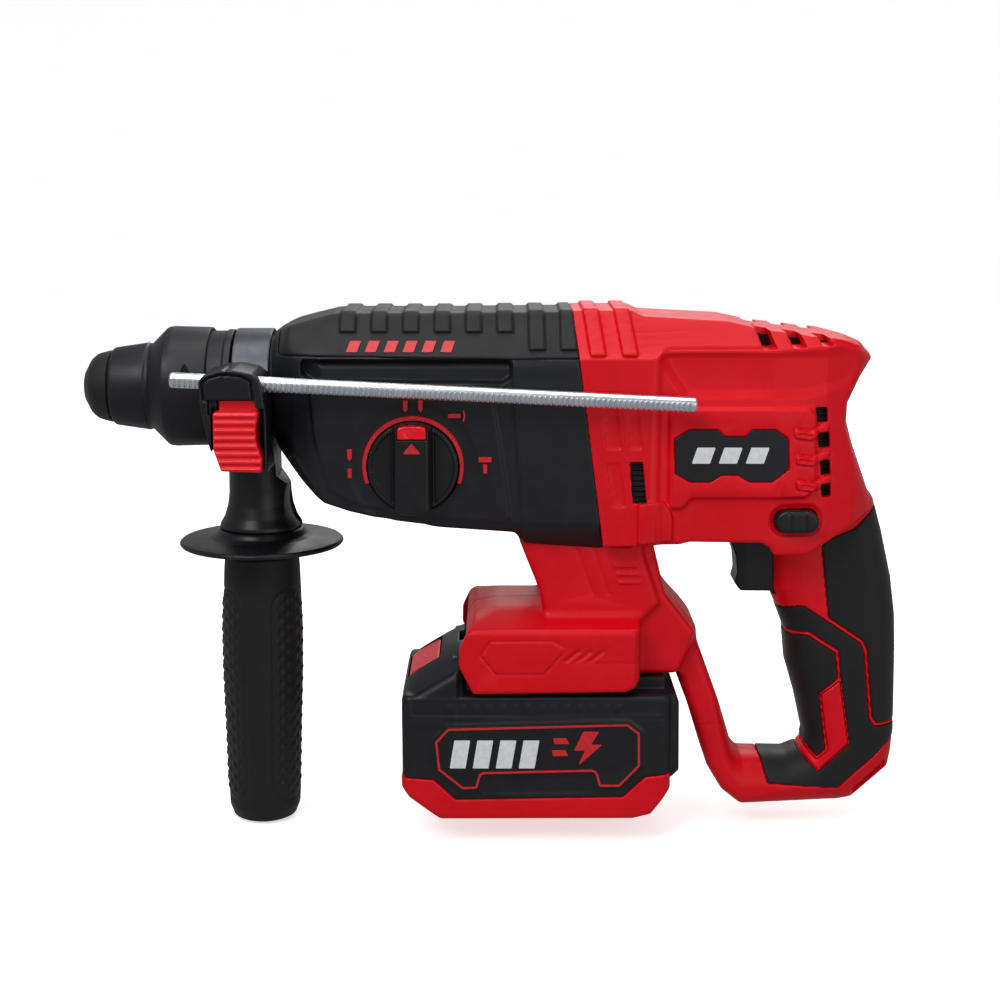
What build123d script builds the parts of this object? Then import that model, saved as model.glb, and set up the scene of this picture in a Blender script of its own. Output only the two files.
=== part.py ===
"""Cordless SDS-plus rotary hammer with a D-handle, a slide battery and a side handle with depth rod.

Frame: millimetres. The origin is the mouth of the bit socket, on the tool axis. +X points to the
rear, so a bit leaves along -X. -Y is the side that carries the mode dial. +Z is up.
"""
from build123d import *
import os
from math import acos, cos, pi, radians, sin, tan

# ---------------------------------------------------------------- driving dimensions
# Tool axis and chuck
SHANK_R = 5.0            # SDS-plus 10 mm shank
MOUTH_LENGTH = 13.0      # plain stretch of the socket before the drive keys
HOLDER_R = 9.5           # outside of the tool holder
CAP_X = 11.0             # rear edge of the rubber dust cap
SLEEVE_X0 = 11.6         # front and rear edge of the locking sleeve
SLEEVE_X1 = 53.6
SLEEVE_R = 25.0
COVER_RING_R = 23.3      # fixed ring that the sleeve slides over
COLLAR_X0 = 63.8
COLLAR_X1 = 79.6
COLLAR_R = 21.5          # 43 mm collar that takes the side handle

# Gear housing and motor housing
GEAR_HALF = 35.0         # half width of the gear housing
MOTOR_HALF = 36.0        # half width of the motor housing
WALL = 2.8
SEAM_TOP_X = 202.6       # black to red joint plane, at Z = 40
SEAM_LEAN = 7.6          # degrees that the joint plane leans back
HANDLE_HALF = 17.0       # half width of the D-handle and arm
PAD = 1.8                # thickness of the soft overmould
COLUMN_HALF = 27.0

# Dock and battery
DOCK_HALF = 39.0
DOCK_X0 = 157.0
DOCK_X1 = 232.0
DOCK_ROOF = -90.5        # top of the dock outside
SKIRT_Z = -123.6         # lower edge of the dock
CAVITY_Z = -99.0         # ceiling of the dock cavity
PACK_HALF = 37.5
PACK_X0 = 133.0
PACK_X1 = 245.5
PACK_TOP = -124.3
PACK_BASE = -178.4
PACK_WALL = 2.4
HUMP_RISE = 31.0         # degrees that the sloping front of the pack rises
NECK_HALF = 26.4         # half width of the pack's neck between the rails
FLANGE_HALF = 31.2       # half width of the flanges that ride on the rails
RAILED_X0 = 160.5        # front end of the flanges and deck, behind the hump
LATCH_HALF = 16.0        # half width of the red release button
LATCH_X0 = 135.4         # front edge of the release button
CELL_R = 9.0             # 18650 cells, 65 mm long
CELL_LENGTH = 65.0
CELL_PITCH = 19.2

# Gear train
SHAFT_Z = -31.875        # intermediate shaft axis
MOTOR_Z = -11.875        # motor axis
SPINDLE_MODULE = 1.25
SPINDLE_TEETH = 36
PINION_TEETH = 15
MOTOR_MODULE = 0.8
BIG_TEETH = 41
MOTOR_TEETH = 9
GEAR_X = 107.0           # front face of the spindle gear pair
BIG_X = 176.0            # front face of the gear that the motor drives
WOBBLE_X = 150.0         # middle of the wobble track

# Mode dial
DIAL_X = 138.8
DIAL_Z = -28.4
DIAL_Y = -35.0           # face that the dial lies on
DIAL_R = 18.3

# Side handle and depth rod
GRIP_X = 72.0            # axis of the side grip along the tool
GRIP_END = -190.0        # lower tip of the side grip
FLANGE_R = 35.0
ROD_R = 3.1
ROD_LENGTH = 209.0
ROD_Y = -44.0
ROD_START = (43.3, 8.0)
ROD_TILT = 2.74          # degrees that the rod drops towards the rear
ROD_TEETH = 96           # notches along the rod, one every TOOTH_PITCH
TOOTH_PITCH = 2.1
STRAP_R = 24.3           # outside of the steel band

BIG = 400.0              # larger than the tool, for cutting blocks


# ---------------------------------------------------------------- helpers
def side(points):
    """Closed outline in X and Z."""
    return make_face(Polyline(*points, close=True))


def slab(face, y0, y1):
    """An X-Z outline made thick from y0 to y1."""
    return extrude(Plane.XZ.offset(-y1) * face, y1 - y0)


def bar(face, x0, x1):
    """A Y-Z section made long from x0 to x1."""
    return extrude(Plane.YZ.offset(x0) * face, x1 - x0)


def plate(face, z0, z1):
    """An X-Y outline made thick from z0 to z1."""
    return extrude(Plane.XY.offset(z0) * face, z1 - z0)


def block(x0, x1, y0, y1, z0, z1):
    centre = ((x0 + x1) / 2, (y0 + y1) / 2, (z0 + z1) / 2)
    return Pos(*centre) * Box(x1 - x0, y1 - y0, z1 - z0)


def rod_x(x0, x1, radius, y=0.0, z=0.0):
    """Round bar along X."""
    return Pos((x0 + x1) / 2, y, z) * Rot(0, 90, 0) * Cylinder(radius, x1 - x0)


def rod_y(y0, y1, radius, x, z):
    """Round bar along Y."""
    return Pos(x, (y0 + y1) / 2, z) * Rot(90, 0, 0) * Cylinder(radius, y1 - y0)


def rod_z(z0, z1, radius, x, y=0.0):
    """Round bar along Z."""
    return Pos(x, y, (z0 + z1) / 2) * Cylinder(radius, z1 - z0)


def turned_x(profile):
    """Closed (x, radius) profile turned about the tool axis."""
    return revolve(Plane.XZ * make_face(Polyline(*profile, close=True)), Axis.X)


def turned_z(profile, x):
    """Closed (radius, z) profile turned about a vertical axis at x."""
    return Pos(x, 0, 0) * revolve(Plane.XZ * make_face(Polyline(*profile, close=True)), Axis.Z)


def ring_x(x0, x1, outer, inner, y=0.0, z=0.0):
    return rod_x(x0, x1, outer, y, z) - rod_x(x0 - 1, x1 + 1, inner, y, z)


def grown(face, amount):
    """Outline moved outwards, or inwards for a negative amount, with its corners kept if it can."""
    if amount == 0:
        return face
    try:
        return offset(face, amount, kind=Kind.INTERSECTION)
    except ValueError:
        return offset(face, amount, kind=Kind.ARC)


def mirrored(points):
    """Right half of a symmetric outline, given from bottom to top, closed by its mirror image."""
    return list(points) + [(-a, b) for a, b in reversed(points)]


def softened(part, edges, radius):
    """Round the edges, or leave them when no rounding closes."""
    for size in (radius, radius * 0.6, radius * 0.3):
        try:
            return fillet(edges, size)
        except (ValueError, RuntimeError):
            continue
    return part


def gear_face(teeth, module, addendum=0.8, backlash=0.16):
    """Involute spur gear outline about the origin, with a tooth on the first axis."""
    pitch = teeth * module / 2
    base = pitch * cos(radians(20))
    tip = pitch + addendum * module
    root = pitch - 1.15 * module

    def involute(radius):
        angle = acos(min(1.0, base / radius))
        return tan(angle) - angle

    half = pi / (2 * teeth) - backlash / (2 * pitch) + involute(pitch)
    low = max(base, root)
    steps = [low + (tip - low) * i / 3 for i in range(4)]
    points = []
    for tooth in range(teeth):
        middle = 2 * pi * tooth / teeth
        flank = [(root, -half)] if root < base - 0.05 else []
        flank += [(radius, -(half - involute(radius))) for radius in steps]
        flank += [(radius, -angle) for radius, angle in reversed(flank)]
        points += [(r * cos(middle + a), r * sin(middle + a)) for r, a in flank]
    return make_face(Polyline(*points, close=True))


def gear_x(teeth, module, x0, x1, z, turn):
    """Spur gear along X, turned by a number of degrees."""
    return bar(Pos(0, z) * Rot(0, 0, turn) * gear_face(teeth, module), x0, x1)


def save(name, *shapes):
    """Write the solids of one node."""
    solids = [solid for shape in shapes for solid in shape.solids()]
    export_step(solids[0] if len(solids) == 1 else Compound(solids), f"parts/{name}.step")


# ---------------------------------------------------------------- outer forms
def behind_seam():
    """Everything behind the leaning joint plane between the black and the red housing."""
    lean = tan(radians(SEAM_LEAN))
    points = [(SEAM_TOP_X - 20 * lean, 60), (BIG, 60), (BIG, -90), (SEAM_TOP_X + 130 * lean, -90)]
    return slab(side(points), -60, 60)


def gear_form(grow=0.0):
    """Outer form of the gear housing, from the collar to past the joint plane."""
    outline = side([
        (80, 24), (86, 26.7), (96, 29.6), (110, 32), (153, 32.6), (228, 33.4), (228, -64.6),
        (183.4, -60.8), (180.2, -56.6), (150.8, -54.2), (131.8, -51.8), (112.8, -47.4),
        (98.5, -42.6), (89, -36.8), (80, -24),
    ])
    half = GEAR_HALF
    section = make_face(Polyline(*mirrored([
        (half - 11, -66), (half, -50), (half, 12), (half - 2.5, 16), (18.5, 33.6),
    ]), close=True))
    top = make_face(Polyline(*[
        (80, -24), (88, -29), (100, -half), (228, -half), (228, half), (100, half), (88, 29), (80, 24),
    ], close=True))
    nose = turned_x([(60, 0), (60, 24.5 + grow), (80, 24.5 + grow), (90, 38.5 + grow), (106, 60 + grow),
                     (114, 72), (300, 72), (300, 0)])
    solid = slab(grown(outline, grow), -60, 60) & bar(grown(section, grow), 60, 260)
    return solid & plate(grown(top, grow), -90, 60) & nose


def motor_form(grow=0.0):
    """Outer form of the motor housing."""
    outline = side([
        (200, 34.6), (228, 34.4), (232.5, 32), (266.5, 30.1), (281, 26.7), (304, 24), (317.5, 22.9),
        (325.3, 19.7), (329.4, 13.7), (320.5, -5), (320.5, -14), (323.5, -24), (331, -46),
        (300, -63.7), (284.6, -63.7), (281, -60.6), (251.5, -60.3), (248, -62.2), (200, -62.2),
    ])
    half = MOTOR_HALF
    section = make_face(Polyline(*mirrored([
        (half - 8, -66), (half, -54), (half, 14.5), (half - 3, 18), (19, 35),
    ]), close=True))
    top = make_face(Polyline(*[
        (196, -half), (285, -half), (312, -30), (336, -20), (336, 20), (312, 30), (285, half), (196, half),
    ], close=True))
    solid = slab(grown(outline, grow), -60, 60) & bar(grown(section, grow), 190, 350)
    return solid & plate(grown(top, grow), -90, 60)


def handle_form(grow=0.0):
    """D-handle and arm with the hand window."""
    outer = side([
        (262, -45), (331, -46), (335.5, -60.3), (340.7, -80.5), (343.2, -105), (344.4, -150),
        (342.5, -164), (327, -179.6), (278, -180.3), (269.4, -173.2), (263.2, -162.7),
        (255.7, -138.8), (248.6, -118.6), (232, -118.6), (232, -95), (226, -85), (230, -45),
    ])
    window = side([
        (233.5, -50), (233.9, -67.3), (241.7, -87.4), (251.3, -95.2), (255.3, -100.8), (274.4, -154.3),
        (277, -156.2), (300.5, -156.2), (304, -150), (297.6, -119.2), (296.1, -102.8), (289, -87.6),
        (287.5, -50),
    ])
    half = HANDLE_HALF
    ring = slab(grown(outer, grow), -half - grow, half + grow)
    return ring - slab(grown(window, -grow), -60, 60)


def column_form(grow=0.0):
    """Column between the motor housing and the battery dock."""
    outline = side([
        (181, -57), (184.5, -68), (190.4, -82.5), (192.5, -97), (232, -97), (241, -88),
        (233.8, -67.3), (233.5, -57),
    ])
    return slab(grown(outline, grow), -COLUMN_HALF - grow, COLUMN_HALF + grow)


def dock_form():
    """Roofed battery dock under the column."""
    outline = side([
        (173, DOCK_ROOF), (163.2, -93.2), (159.6, -99), (DOCK_X0, -104.5), (DOCK_X0, -111.8), (162.8, SKIRT_Z),
        (226, SKIRT_Z), (230.6, -120.4), (DOCK_X1, -117), (DOCK_X1, DOCK_ROOF),
    ])
    section = make_face(Polyline(*mirrored([
        (DOCK_HALF, -130), (DOCK_HALF, -98), (DOCK_HALF - 1.5, -96), (17, DOCK_ROOF),
    ]), close=True))
    return slab(outline, -60, 60) & bar(section, 150, 240)


# ---------------------------------------------------------------- chuck and spindle
def dust_cap():
    return turned_x([
        (0, SHANK_R), (0, 6.2), (1.0, 8.2), (2.8, 11.6), (5.5, 13.7), (CAP_X, 15.2),
        (CAP_X, HOLDER_R), (2.5, HOLDER_R), (2.5, SHANK_R),
    ])


def tool_holder():
    """Hardened holder with two drive keys, two roller slots and the seat of the impact bolt."""
    body = turned_x([
        (2.5, SHANK_R), (2.5, HOLDER_R), (62, HOLDER_R), (64, 12.0), (92, 12.0), (92, 7.5),
        (54, 7.5), (50, SHANK_R), (14.5, SHANK_R), (14.5, 5.6), (MOUTH_LENGTH, 5.6), (MOUTH_LENGTH, SHANK_R),
    ])
    keys = [block(15, 34, sign * 4.9 - 0.9, sign * 4.9 + 0.9, -1.2, 1.2) for sign in (-1, 1)]
    slots = [block(24, 33, -2.9, 2.9, sign * 7 - 3.0, sign * 7 + 3.0) for sign in (-1, 1)]
    for slot in slots:
        body -= slot
    return body + keys


def lock_rollers():
    """Two rollers that hold the shank, in the holder's slots."""
    return [rod_x(24.2, 32.8, 2.6, 0, sign * 6.9) for sign in (-1, 1)]


def locking_sleeve():
    """Hand sleeve: it slides back over the cover ring to free the bit."""
    return turned_x([
        (SLEEVE_X0, HOLDER_R + 0.3), (SLEEVE_X0, 15.4), (12.8, 16.3), (27, 18.5), (27.8, 18.0),
        (28.8, 18.1), (29.4, 19.2), (35.6, SLEEVE_R), (37, SLEEVE_R + 0.2), (SLEEVE_X1, 24.8),
        (SLEEVE_X1, 23.7), (40.5, 23.7), (36, 18.0), (31, 14.5), (23, 14.5), (23, HOLDER_R + 0.3),
    ])


def sleeve_spring():
    """Coil that returns the sleeve, as one closed sleeve of its outer shape."""
    return ring_x(23.3, 61.6, 12.4, 10.4)


def sleeve_cover_ring():
    """Fixed ring in front of the collar that closes the rear of the sleeve."""
    return turned_x([
        (47.6, 14.2), (47.6, 22.3), (49, COVER_RING_R), (59.6, COVER_RING_R), (60.6, 23.9),
        (63.2, 23.9), (63.2, 14.2),
    ])


def spindle_tube():
    tube = ring_x(80, 143, 13.5, 11.3)
    front = rod_x(79.9, 92, 12.0)
    return tube - front


def spindle_gear():
    gear = gear_x(SPINDLE_TEETH, SPINDLE_MODULE, GEAR_X, GEAR_X + 8, 0, 0)
    return gear - rod_x(GEAR_X - 1, GEAR_X + 9, 13.5)


def bearing(x0, x1, outer, inner, z=0.0):
    """Ball bearing with grooved faces."""
    body = ring_x(x0, x1, outer, inner, 0, z)
    middle = (outer + inner) / 2
    width = (outer - inner) * 0.18
    for start, end in ((x0 - 1, x0 + 0.6), (x1 - 0.6, x1 + 1)):
        body -= ring_x(start, end, middle + width, middle - width, 0, z)
    return body


def front_seal():
    return ring_x(66, 72, 16.0, 12.4)


def impact_bolt():
    return turned_x([(62, 0), (62, 4.6), (66, 6.2), (78, 6.2), (80, 7.2), (101, 7.2), (104, 5.5), (104, 0)])


def striker():
    return turned_x([(112, 0), (112, 5.5), (114, 8.2), (119, 8.2), (119, 7.2), (122, 7.2), (122, 8.2),
                     (132, 8.2), (132, 0)])


def piston():
    """Hollow piston; the wobble ring's ball end works in the slot at its rear."""
    body = rod_x(108, 158, 11.0) - rod_x(107, 141, 8.5)
    slot = block(145.2, 154.8, -12, 12, -12, 6.5)
    return body - slot


def wobble_bearing():
    """Outer ring of the wobble bearing with its finger and ball end."""
    ring = ring_x(WOBBLE_X - 5, WOBBLE_X + 5, 16.6, 12.4, 0, SHAFT_Z)
    finger = rod_z(SHAFT_Z + 14.5, -1, 2.6, WOBBLE_X)
    ball = Pos(WOBBLE_X, 0, 0) * Sphere(4.4)
    return ring + finger + ball


def intermediate_shaft():
    """Shaft with the inner ball track of the wobble bearing."""
    shaft = rod_x(97, 194, 5.0, 0, SHAFT_Z)
    track = rod_x(WOBBLE_X - 9, WOBBLE_X + 9, 9.4, 0, SHAFT_Z)
    groove = Pos(WOBBLE_X, 0, SHAFT_Z) * Rot(0, 90, 0) * Torus(10.9, 2.2)
    return shaft + (track - groove)


def intermediate_pinion():
    turn = 90 + 180 / PINION_TEETH
    gear = gear_x(PINION_TEETH, SPINDLE_MODULE, GEAR_X - 0.5, GEAR_X + 8.5, SHAFT_Z, turn)
    return gear - rod_x(GEAR_X - 2, GEAR_X + 10, 5.0, 0, SHAFT_Z)


def intermediate_gear():
    gear = gear_x(BIG_TEETH, MOTOR_MODULE, BIG_X, BIG_X + 7.5, SHAFT_Z, 90)
    holes = PolarLocations(11.0, 5)
    gear -= [bar(Pos(0, SHAFT_Z) * spot * Circle(2.4), BIG_X - 1, BIG_X + 9) for spot in holes]
    return gear - rod_x(BIG_X - 1, BIG_X + 9, 5.0, 0, SHAFT_Z)


def mode_clutch():
    """Sliding dog clutch that the mode dial shifts."""
    return ring_x(124, 136, 9.0, 5.0, 0, SHAFT_Z) - ring_x(128, 132, 10, 7.2, 0, SHAFT_Z)


# ---------------------------------------------------------------- motor
def motor_shaft():
    shaft = rod_x(186, 288, 2.5, 0, MOTOR_Z)
    turn = -90 + 180 / MOTOR_TEETH
    return shaft + gear_x(MOTOR_TEETH, MOTOR_MODULE, BIG_X - 0.5, 187, MOTOR_Z, turn)


def rotor():
    """Slotted rotor stack."""
    body = ring_x(238, 268, 15.0, 2.5, 0, MOTOR_Z)
    for spot in PolarLocations(14.0, 12):
        body -= bar(Pos(0, MOTOR_Z) * spot * Rectangle(5.0, 1.6), 237, 269)
    return body


def fan():
    """Radial fan with blades on a back plate."""
    disc = ring_x(230.4, 232, 24.0, 2.5, 0, MOTOR_Z) + ring_x(222, 231, 6.0, 2.5, 0, MOTOR_Z)
    for spot in PolarLocations(14.5, 11):
        disc += bar(Pos(0, MOTOR_Z) * spot * Rectangle(18.4, 1.4), 222.5, 230.6)
    return disc


def stator():
    """Stator stack with six poles and its winding overhangs."""
    body = ring_x(236, 270, 26.0, 21.5, 0, MOTOR_Z)
    for spot in PolarLocations(18.8, 6):
        body += bar(Pos(0, MOTOR_Z) * spot * Rectangle(6.4, 7.0), 238, 268)
    return body


def bearing_plate():
    """Aluminium plate between the gear housing and the motor housing."""
    body = gear_form(-WALL - 0.4) & block(187, 201, -60, 60, -90, 60)
    body -= block(190, 202, -24, 24, 2, 40)
    body -= block(190, 202, -24, 24, -80, -45)
    body -= rod_x(186, 194.5, 9.5, 0, SHAFT_Z)
    body -= rod_x(193, 202, 9.5, 0, MOTOR_Z)
    body -= rod_x(186, 194, 5.5, 0, MOTOR_Z)
    for y, z in plate_screw_spots():
        body -= rod_x(186, 202, 2.1, y, z)
    return body


def plate_screw_spots():
    return [(-28.6, 8), (28.6, 8), (-28.6, -44), (28.6, -44)]


def plate_screws():
    """Four screws that hold the plate to the gear housing."""
    return [rod_x(180, 201, 2.0, y, z) + rod_x(201, 203.4, 3.6, y, z) for y, z in plate_screw_spots()]


# ---------------------------------------------------------------- housings
def gear_housing():
    """Hollow gear housing with the collar, bearing seats and screw bosses."""
    body = gear_form(0) - (gear_form(-WALL) & block(95, BIG, -60, 60, -90, 60))
    body += rod_x(COLLAR_X0, 95, COLLAR_R)
    body += rod_x(80, 100, 23.6) & gear_form(0)
    body += rod_x(94, 103, 12.5, 0, SHAFT_Z) & gear_form(0)
    for y, z in plate_screw_spots():
        body += rod_x(176, 186.8, 4.2, y, z)
    body -= rod_x(COLLAR_X0 - 1, 80, 16.0)
    body -= rod_x(79, 101, 19.0)
    body -= rod_x(97, 104, 9.5, 0, SHAFT_Z)
    body -= rod_y(-60, -20, 6.4, DIAL_X, DIAL_Z)
    body -= [rod_x(179, 188, 2.0, y, z) for y, z in plate_screw_spots()]
    body -= side_groove()
    body -= top_pad_zone() & (gear_form(0) - gear_form(-PAD))
    return body - behind_seam()


def side_groove():
    """Shallow grooves under the shoulder lines, which leave room for the fingers and the rod."""
    return [block(96, 178, sign * 34.2 - 1.2, sign * 34.2 + 1.2, 6, 14) for sign in (-1, 1)]


def top_pad_zone():
    points = [(84, 17.6), (206, 16.8), (206, 60), (84, 60)]
    return slab(side(points), -60, 60) - behind_seam()


def top_pad():
    """Ribbed soft cover over the top of the gear housing."""
    skin = top_pad_zone() & (gear_form(0) - gear_form(-PAD))
    ridge = (gear_form(1.3) - gear_form(0)) - behind_seam()
    for number in range(8):
        x = 108 + 12.7 * number
        low = 25 if number < 6 else 19
        skin += ridge & block(x, x + 6.4, -40, 40, low, 60)
    return skin


def inner_ribs():
    """Motor cradle and rear bearing seat inside the red housing."""
    inside = motor_form(-WALL + 0.2)
    cradle = inside & (block(240, 243, -60, 60, -60, 40) + block(262, 265, -60, 60, -60, 40))
    cradle -= rod_x(230, 275, 26.0, 0, MOTOR_Z)
    seat = inside & block(283, 289, -60, 60, -32, 6)
    seat -= rod_x(280, 292, 8.0, 0, MOTOR_Z)
    return cradle + seat


# air slots as (x, top, width, base) at the rear and (x, width, top, base) on the top slopes
REAR_SLOTS = [(302.2, -4.7, 4.4, -11.0), (303.2, -14.9, 4.6, -21.4), (304.6, -26.4, 3.9, -32.8),
              (305.3, -36.1, 3.6, -41.9)]
TOP_SLOTS = [(277.0, 5.2, 27.9, 18.6), (289.2, 5.2, 26.4, 19.2), (301.3, 4.2, 25.0, 19.9)]


def vents():
    """Air slots: one inlet near the joint, four stepped outlets at the rear and three on top."""
    cuts = []
    for sign in (-1, 1):
        cuts.append(slab(side([(226.5, -26.4), (231.8, -26.4), (233.7, -43.7), (228, -43.7)]),
                         sign * 36 - 6, sign * 36 + 6))
        for x, top, wide, base in REAR_SLOTS:
            cuts.append(block(x, x + wide, sign * 32 - 8, sign * 32 + 8, base, top))
    for x, wide, top, base in TOP_SLOTS:
        slot = side([(x, 40), (x, top), (x + 2.9, base), (x + wide + 3.6, base), (x + wide, top), (x + wide, 40)])
        cuts += [slab(slot, sign * 21.5 - 9.5, sign * 21.5 + 9.5) for sign in (-1, 1)]
    return cuts


def screw_spots():
    """Places of the housing screws, as (x, z)."""
    return [(222, 24), (300, 14), (318, -44), (215, -92), (236, -98), (334, -168), (222, -52)]


def red_housing():
    """Motor housing, column, dock, arm and D-handle as one hollow body, before it is split."""
    handle = handle_form(0)
    column = column_form(0) - gear_form(0)
    body = (motor_form(0) & behind_seam()) + handle + column + (dock_form() - dock_cavity())
    hollow = motor_form(-WALL) + (handle_form(-WALL - PAD) - dock_cavity(1.5)) + column_form(-WALL)
    hollow -= block(150, 228, -60, 60, -130, -93)
    body -= hollow
    body += inner_ribs()
    bosses = [rod_y(-40, 40, 5.2, x, z) for x, z in screw_spots()]
    body += [boss & (motor_form(-1) + handle + column_form(-1) + dock_form()) for boss in bosses]
    body -= vents()
    body -= block(284, 304.3, -9.5, 9.5, -88.4, -64.2)
    body -= lever_bar(0.4)
    body -= block(204, 226, -9, 9, -104, -90)
    body -= pads_zone()
    body -= badge_pocket()
    body -= wires(1.8)
    return body


def dock_cavity(grow=0.0):
    return block(120, 228.6 + grow, -35.8, 35.8, -140, CAVITY_Z + grow) + block(
        200, 260, -35.8, 35.8, -140, -118.6)


def pads_zone():
    """Space of the soft overmoulds and red panels let into the D-handle."""
    return (handle_form(0) - handle_form(-PAD)) & (rear_pad_zone() + window_pad_zone() + bottom_pad_zone())


def rear_pad_zone():
    points = [(345, -48), (330, -50.4), (322, -58), (310.2, -63.2), (309, -65.8), (313, -96.5), (327.8, -106.6),
              (329.7, -110.5), (333, -140.2), (334.8, -143), (350, -143), (350, -60)]
    return slab(side(points), -30, 30)


def window_pad_zone():
    points = [(288, -94), (292.3, -93.9), (302.1, -91.3), (317.4, -104), (326, -111), (329, -140), (323.6, -152.3),
              (311, -165), (301, -155), (300.7, -150), (292, -119)]
    return slab(side(points), -30, 30)


def bottom_pad_zone():
    points = [(284.6, -153), (300.6, -153.4), (301.9, -156.4), (311, -165.6), (324, -152.8), (332, -146),
              (352, -146), (339.6, -153.4), (319.2, -172.6), (289.4, -170.3)]
    return slab(side(points), -30, 30)


def handle_skin(zone):
    return (handle_form(0) - handle_form(-PAD)) & zone


def grip_overmould():
    """Soft black skins of the D-handle: rear pad, window pad and base pad."""
    window = handle_skin(window_pad_zone()) - panel_zone()
    return [handle_skin(rear_pad_zone()), window, handle_skin(bottom_pad_zone()) - window_pad_zone()]


def panel_zone():
    """Red panel framed by the soft overmould on each side of the grip."""
    points = [(311.3, -130.4), (319.1, -123.7), (323.6, -152), (315.8, -160.4), (310.8, -164.6), (303.4, -156)]
    return slab(side(points), -30, -HANDLE_HALF + PAD) + slab(side(points), HANDLE_HALF - PAD, 30)


def lever_bar(grow=0.0):
    """Reversing lever: an oval bar right through the housing."""
    half = MOTOR_HALF + 1.5 if grow == 0 else 60
    oval = SlotOverall(18.0 + 2 * grow, 9.5 + 2 * grow)
    return slab(Pos(295.2, -51.4) * oval, -half, half)


def badge_points(grow=0.0):
    return grown(side([
        (244.2, -17), (250.5, -13.1), (262, -13.1), (264.9, -16.1), (273, -16.1), (275.9, -13.1),
        (285.2, -13.1), (290.6, -17), (291.3, -29.6), (284.6, -35), (275.4, -35), (270.4, -32.1),
        (263.9, -32.1), (259.5, -35), (251, -35), (245, -31.5),
    ]), grow)


def badge_pocket():
    return [slab(badge_points(0), -60, -MOTOR_HALF + 1.0), slab(badge_points(0), MOTOR_HALF - 1.0, 60)]


def side_badges():
    """Plain black badges, one on each side."""
    return motor_form(0.3) & (slab(badge_points(-0.15), -60, -MOTOR_HALF + 1.0)
                              + slab(badge_points(-0.15), MOTOR_HALF - 1.0, 60))


def housing_screws():
    """Screws that join the two red halves, driven from the far side."""
    spots = screw_spots()
    return [rod_y(-8, 11, 1.9, x, z) + rod_y(11, 14, 3.4, x, z) for x, z in spots]


def split(body, sign):
    """One half of a body, on the side that the sign gives."""
    return body & (block(-BIG, BIG, -BIG, 0, -BIG, BIG) if sign < 0 else block(-BIG, BIG, 0, BIG, -BIG, BIG))


def screw_holes(sign):
    """Clearance and counterbores in the far half, pilot holes in the near half."""
    if sign < 0:
        return [rod_y(-9, 1, 1.9, x, z) for x, z in screw_spots()]
    return [rod_y(-1, 11, 1.9, x, z) + rod_y(11, 60, 3.6, x, z) for x, z in screw_spots()]


def trigger():
    """Trigger with its plunger, which runs into the switch."""
    outline = side([
        (266.9, -64.6), (271.8, -65.2), (274.2, -71.6), (275.0, -79.6), (273.8, -83.2), (276.4, -86.6),
        (296, -87), (296, -64.6),
    ])
    body = slab(outline, -8.8, 8.8)
    front = [edge for edge in body.edges() if abs(abs(edge.center().Y) - 8.8) < 0.01 and edge.center().X < 277]
    body = softened(body, front, 2.0)
    return body + rod_x(295, 307, 2.4, 0, -76)


def trigger_switch():
    body = block(304.6, 327, -11, 11, -88, -65)
    body -= rod_x(304, 318, 2.7, 0, -76)
    return body + block(308, 320, -6, 6, -65, -60.5)


def trigger_spring():
    return ring_x(296.2, 304.4, 4.4, 3.0, 0, -76)


def controller():
    """Speed controller with cooling fins on its heat sink."""
    body = block(309, 333, -10, 10, -140, -101)
    for number in range(6):
        z = -137 + 6 * number
        body -= block(329, 334, -11, 11, z, z + 3)
    return body


def wires(radius=1.3):
    """Two power leads clipped inside the arm, from the terminals to the controller."""
    tubes = []
    for y in (-4.0, 4.0):
        path = FilletPolyline((228.5, y, -107.5), (247.5, y, -107.5), (268.5, y, -163), (280, y, -169),
                              (316, y, -168.5), (321, y, -140.2), radius=[8, 8, 8, 10])
        start = Plane(origin=path @ 0, z_dir=path % 0)
        tubes.append(sweep(start * Circle(radius), path=path))
    return tubes


# ---------------------------------------------------------------- dock and battery
def dock_rails():
    """Black rails that the battery flanges slide in."""
    rails = []
    for sign in (-1, 1):
        section = [(sign * 35.6, -122.6), (sign * 27.0, -122.6), (sign * 27.0, -117), (sign * 31.6, -117),
                   (sign * 31.6, CAVITY_Z - 0.2), (sign * 35.6, CAVITY_Z - 0.2)]
        rails.append(bar(make_face(Polyline(*section, close=True)), 160, 228.4))
    return rails


def blade_rows():
    return (-14.0, -5.0, 5.0, 14.0)


def terminal_block():
    """Terminal block with its four moulded-in blades."""
    body = block(218.5, 228.4, -22, 22, -110.5, CAVITY_Z)
    for y in blade_rows():
        body += block(203, 219, y - 0.5, y + 0.5, -108.5, -102.5)
    return body


def pack_form(grow=0.0):
    """Lower body of the battery pack."""
    outline = side([
        (PACK_X0 + 1, PACK_TOP), (PACK_X0, -128), (PACK_X0 + 0.2, -165.6), (149, PACK_BASE), (230, PACK_BASE),
        (237, -176.5), (PACK_X1, -165), (PACK_X1, PACK_TOP),
    ])
    section = make_face(Polyline(*mirrored([
        (PACK_HALF - 3, PACK_BASE), (PACK_HALF, PACK_BASE + 3), (PACK_HALF, PACK_TOP - 2), (PACK_HALF - 2, PACK_TOP),
    ]), close=True))
    return slab(grown(outline, grow), -60, 60) & bar(grown(section, grow), 120, 260)


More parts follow.
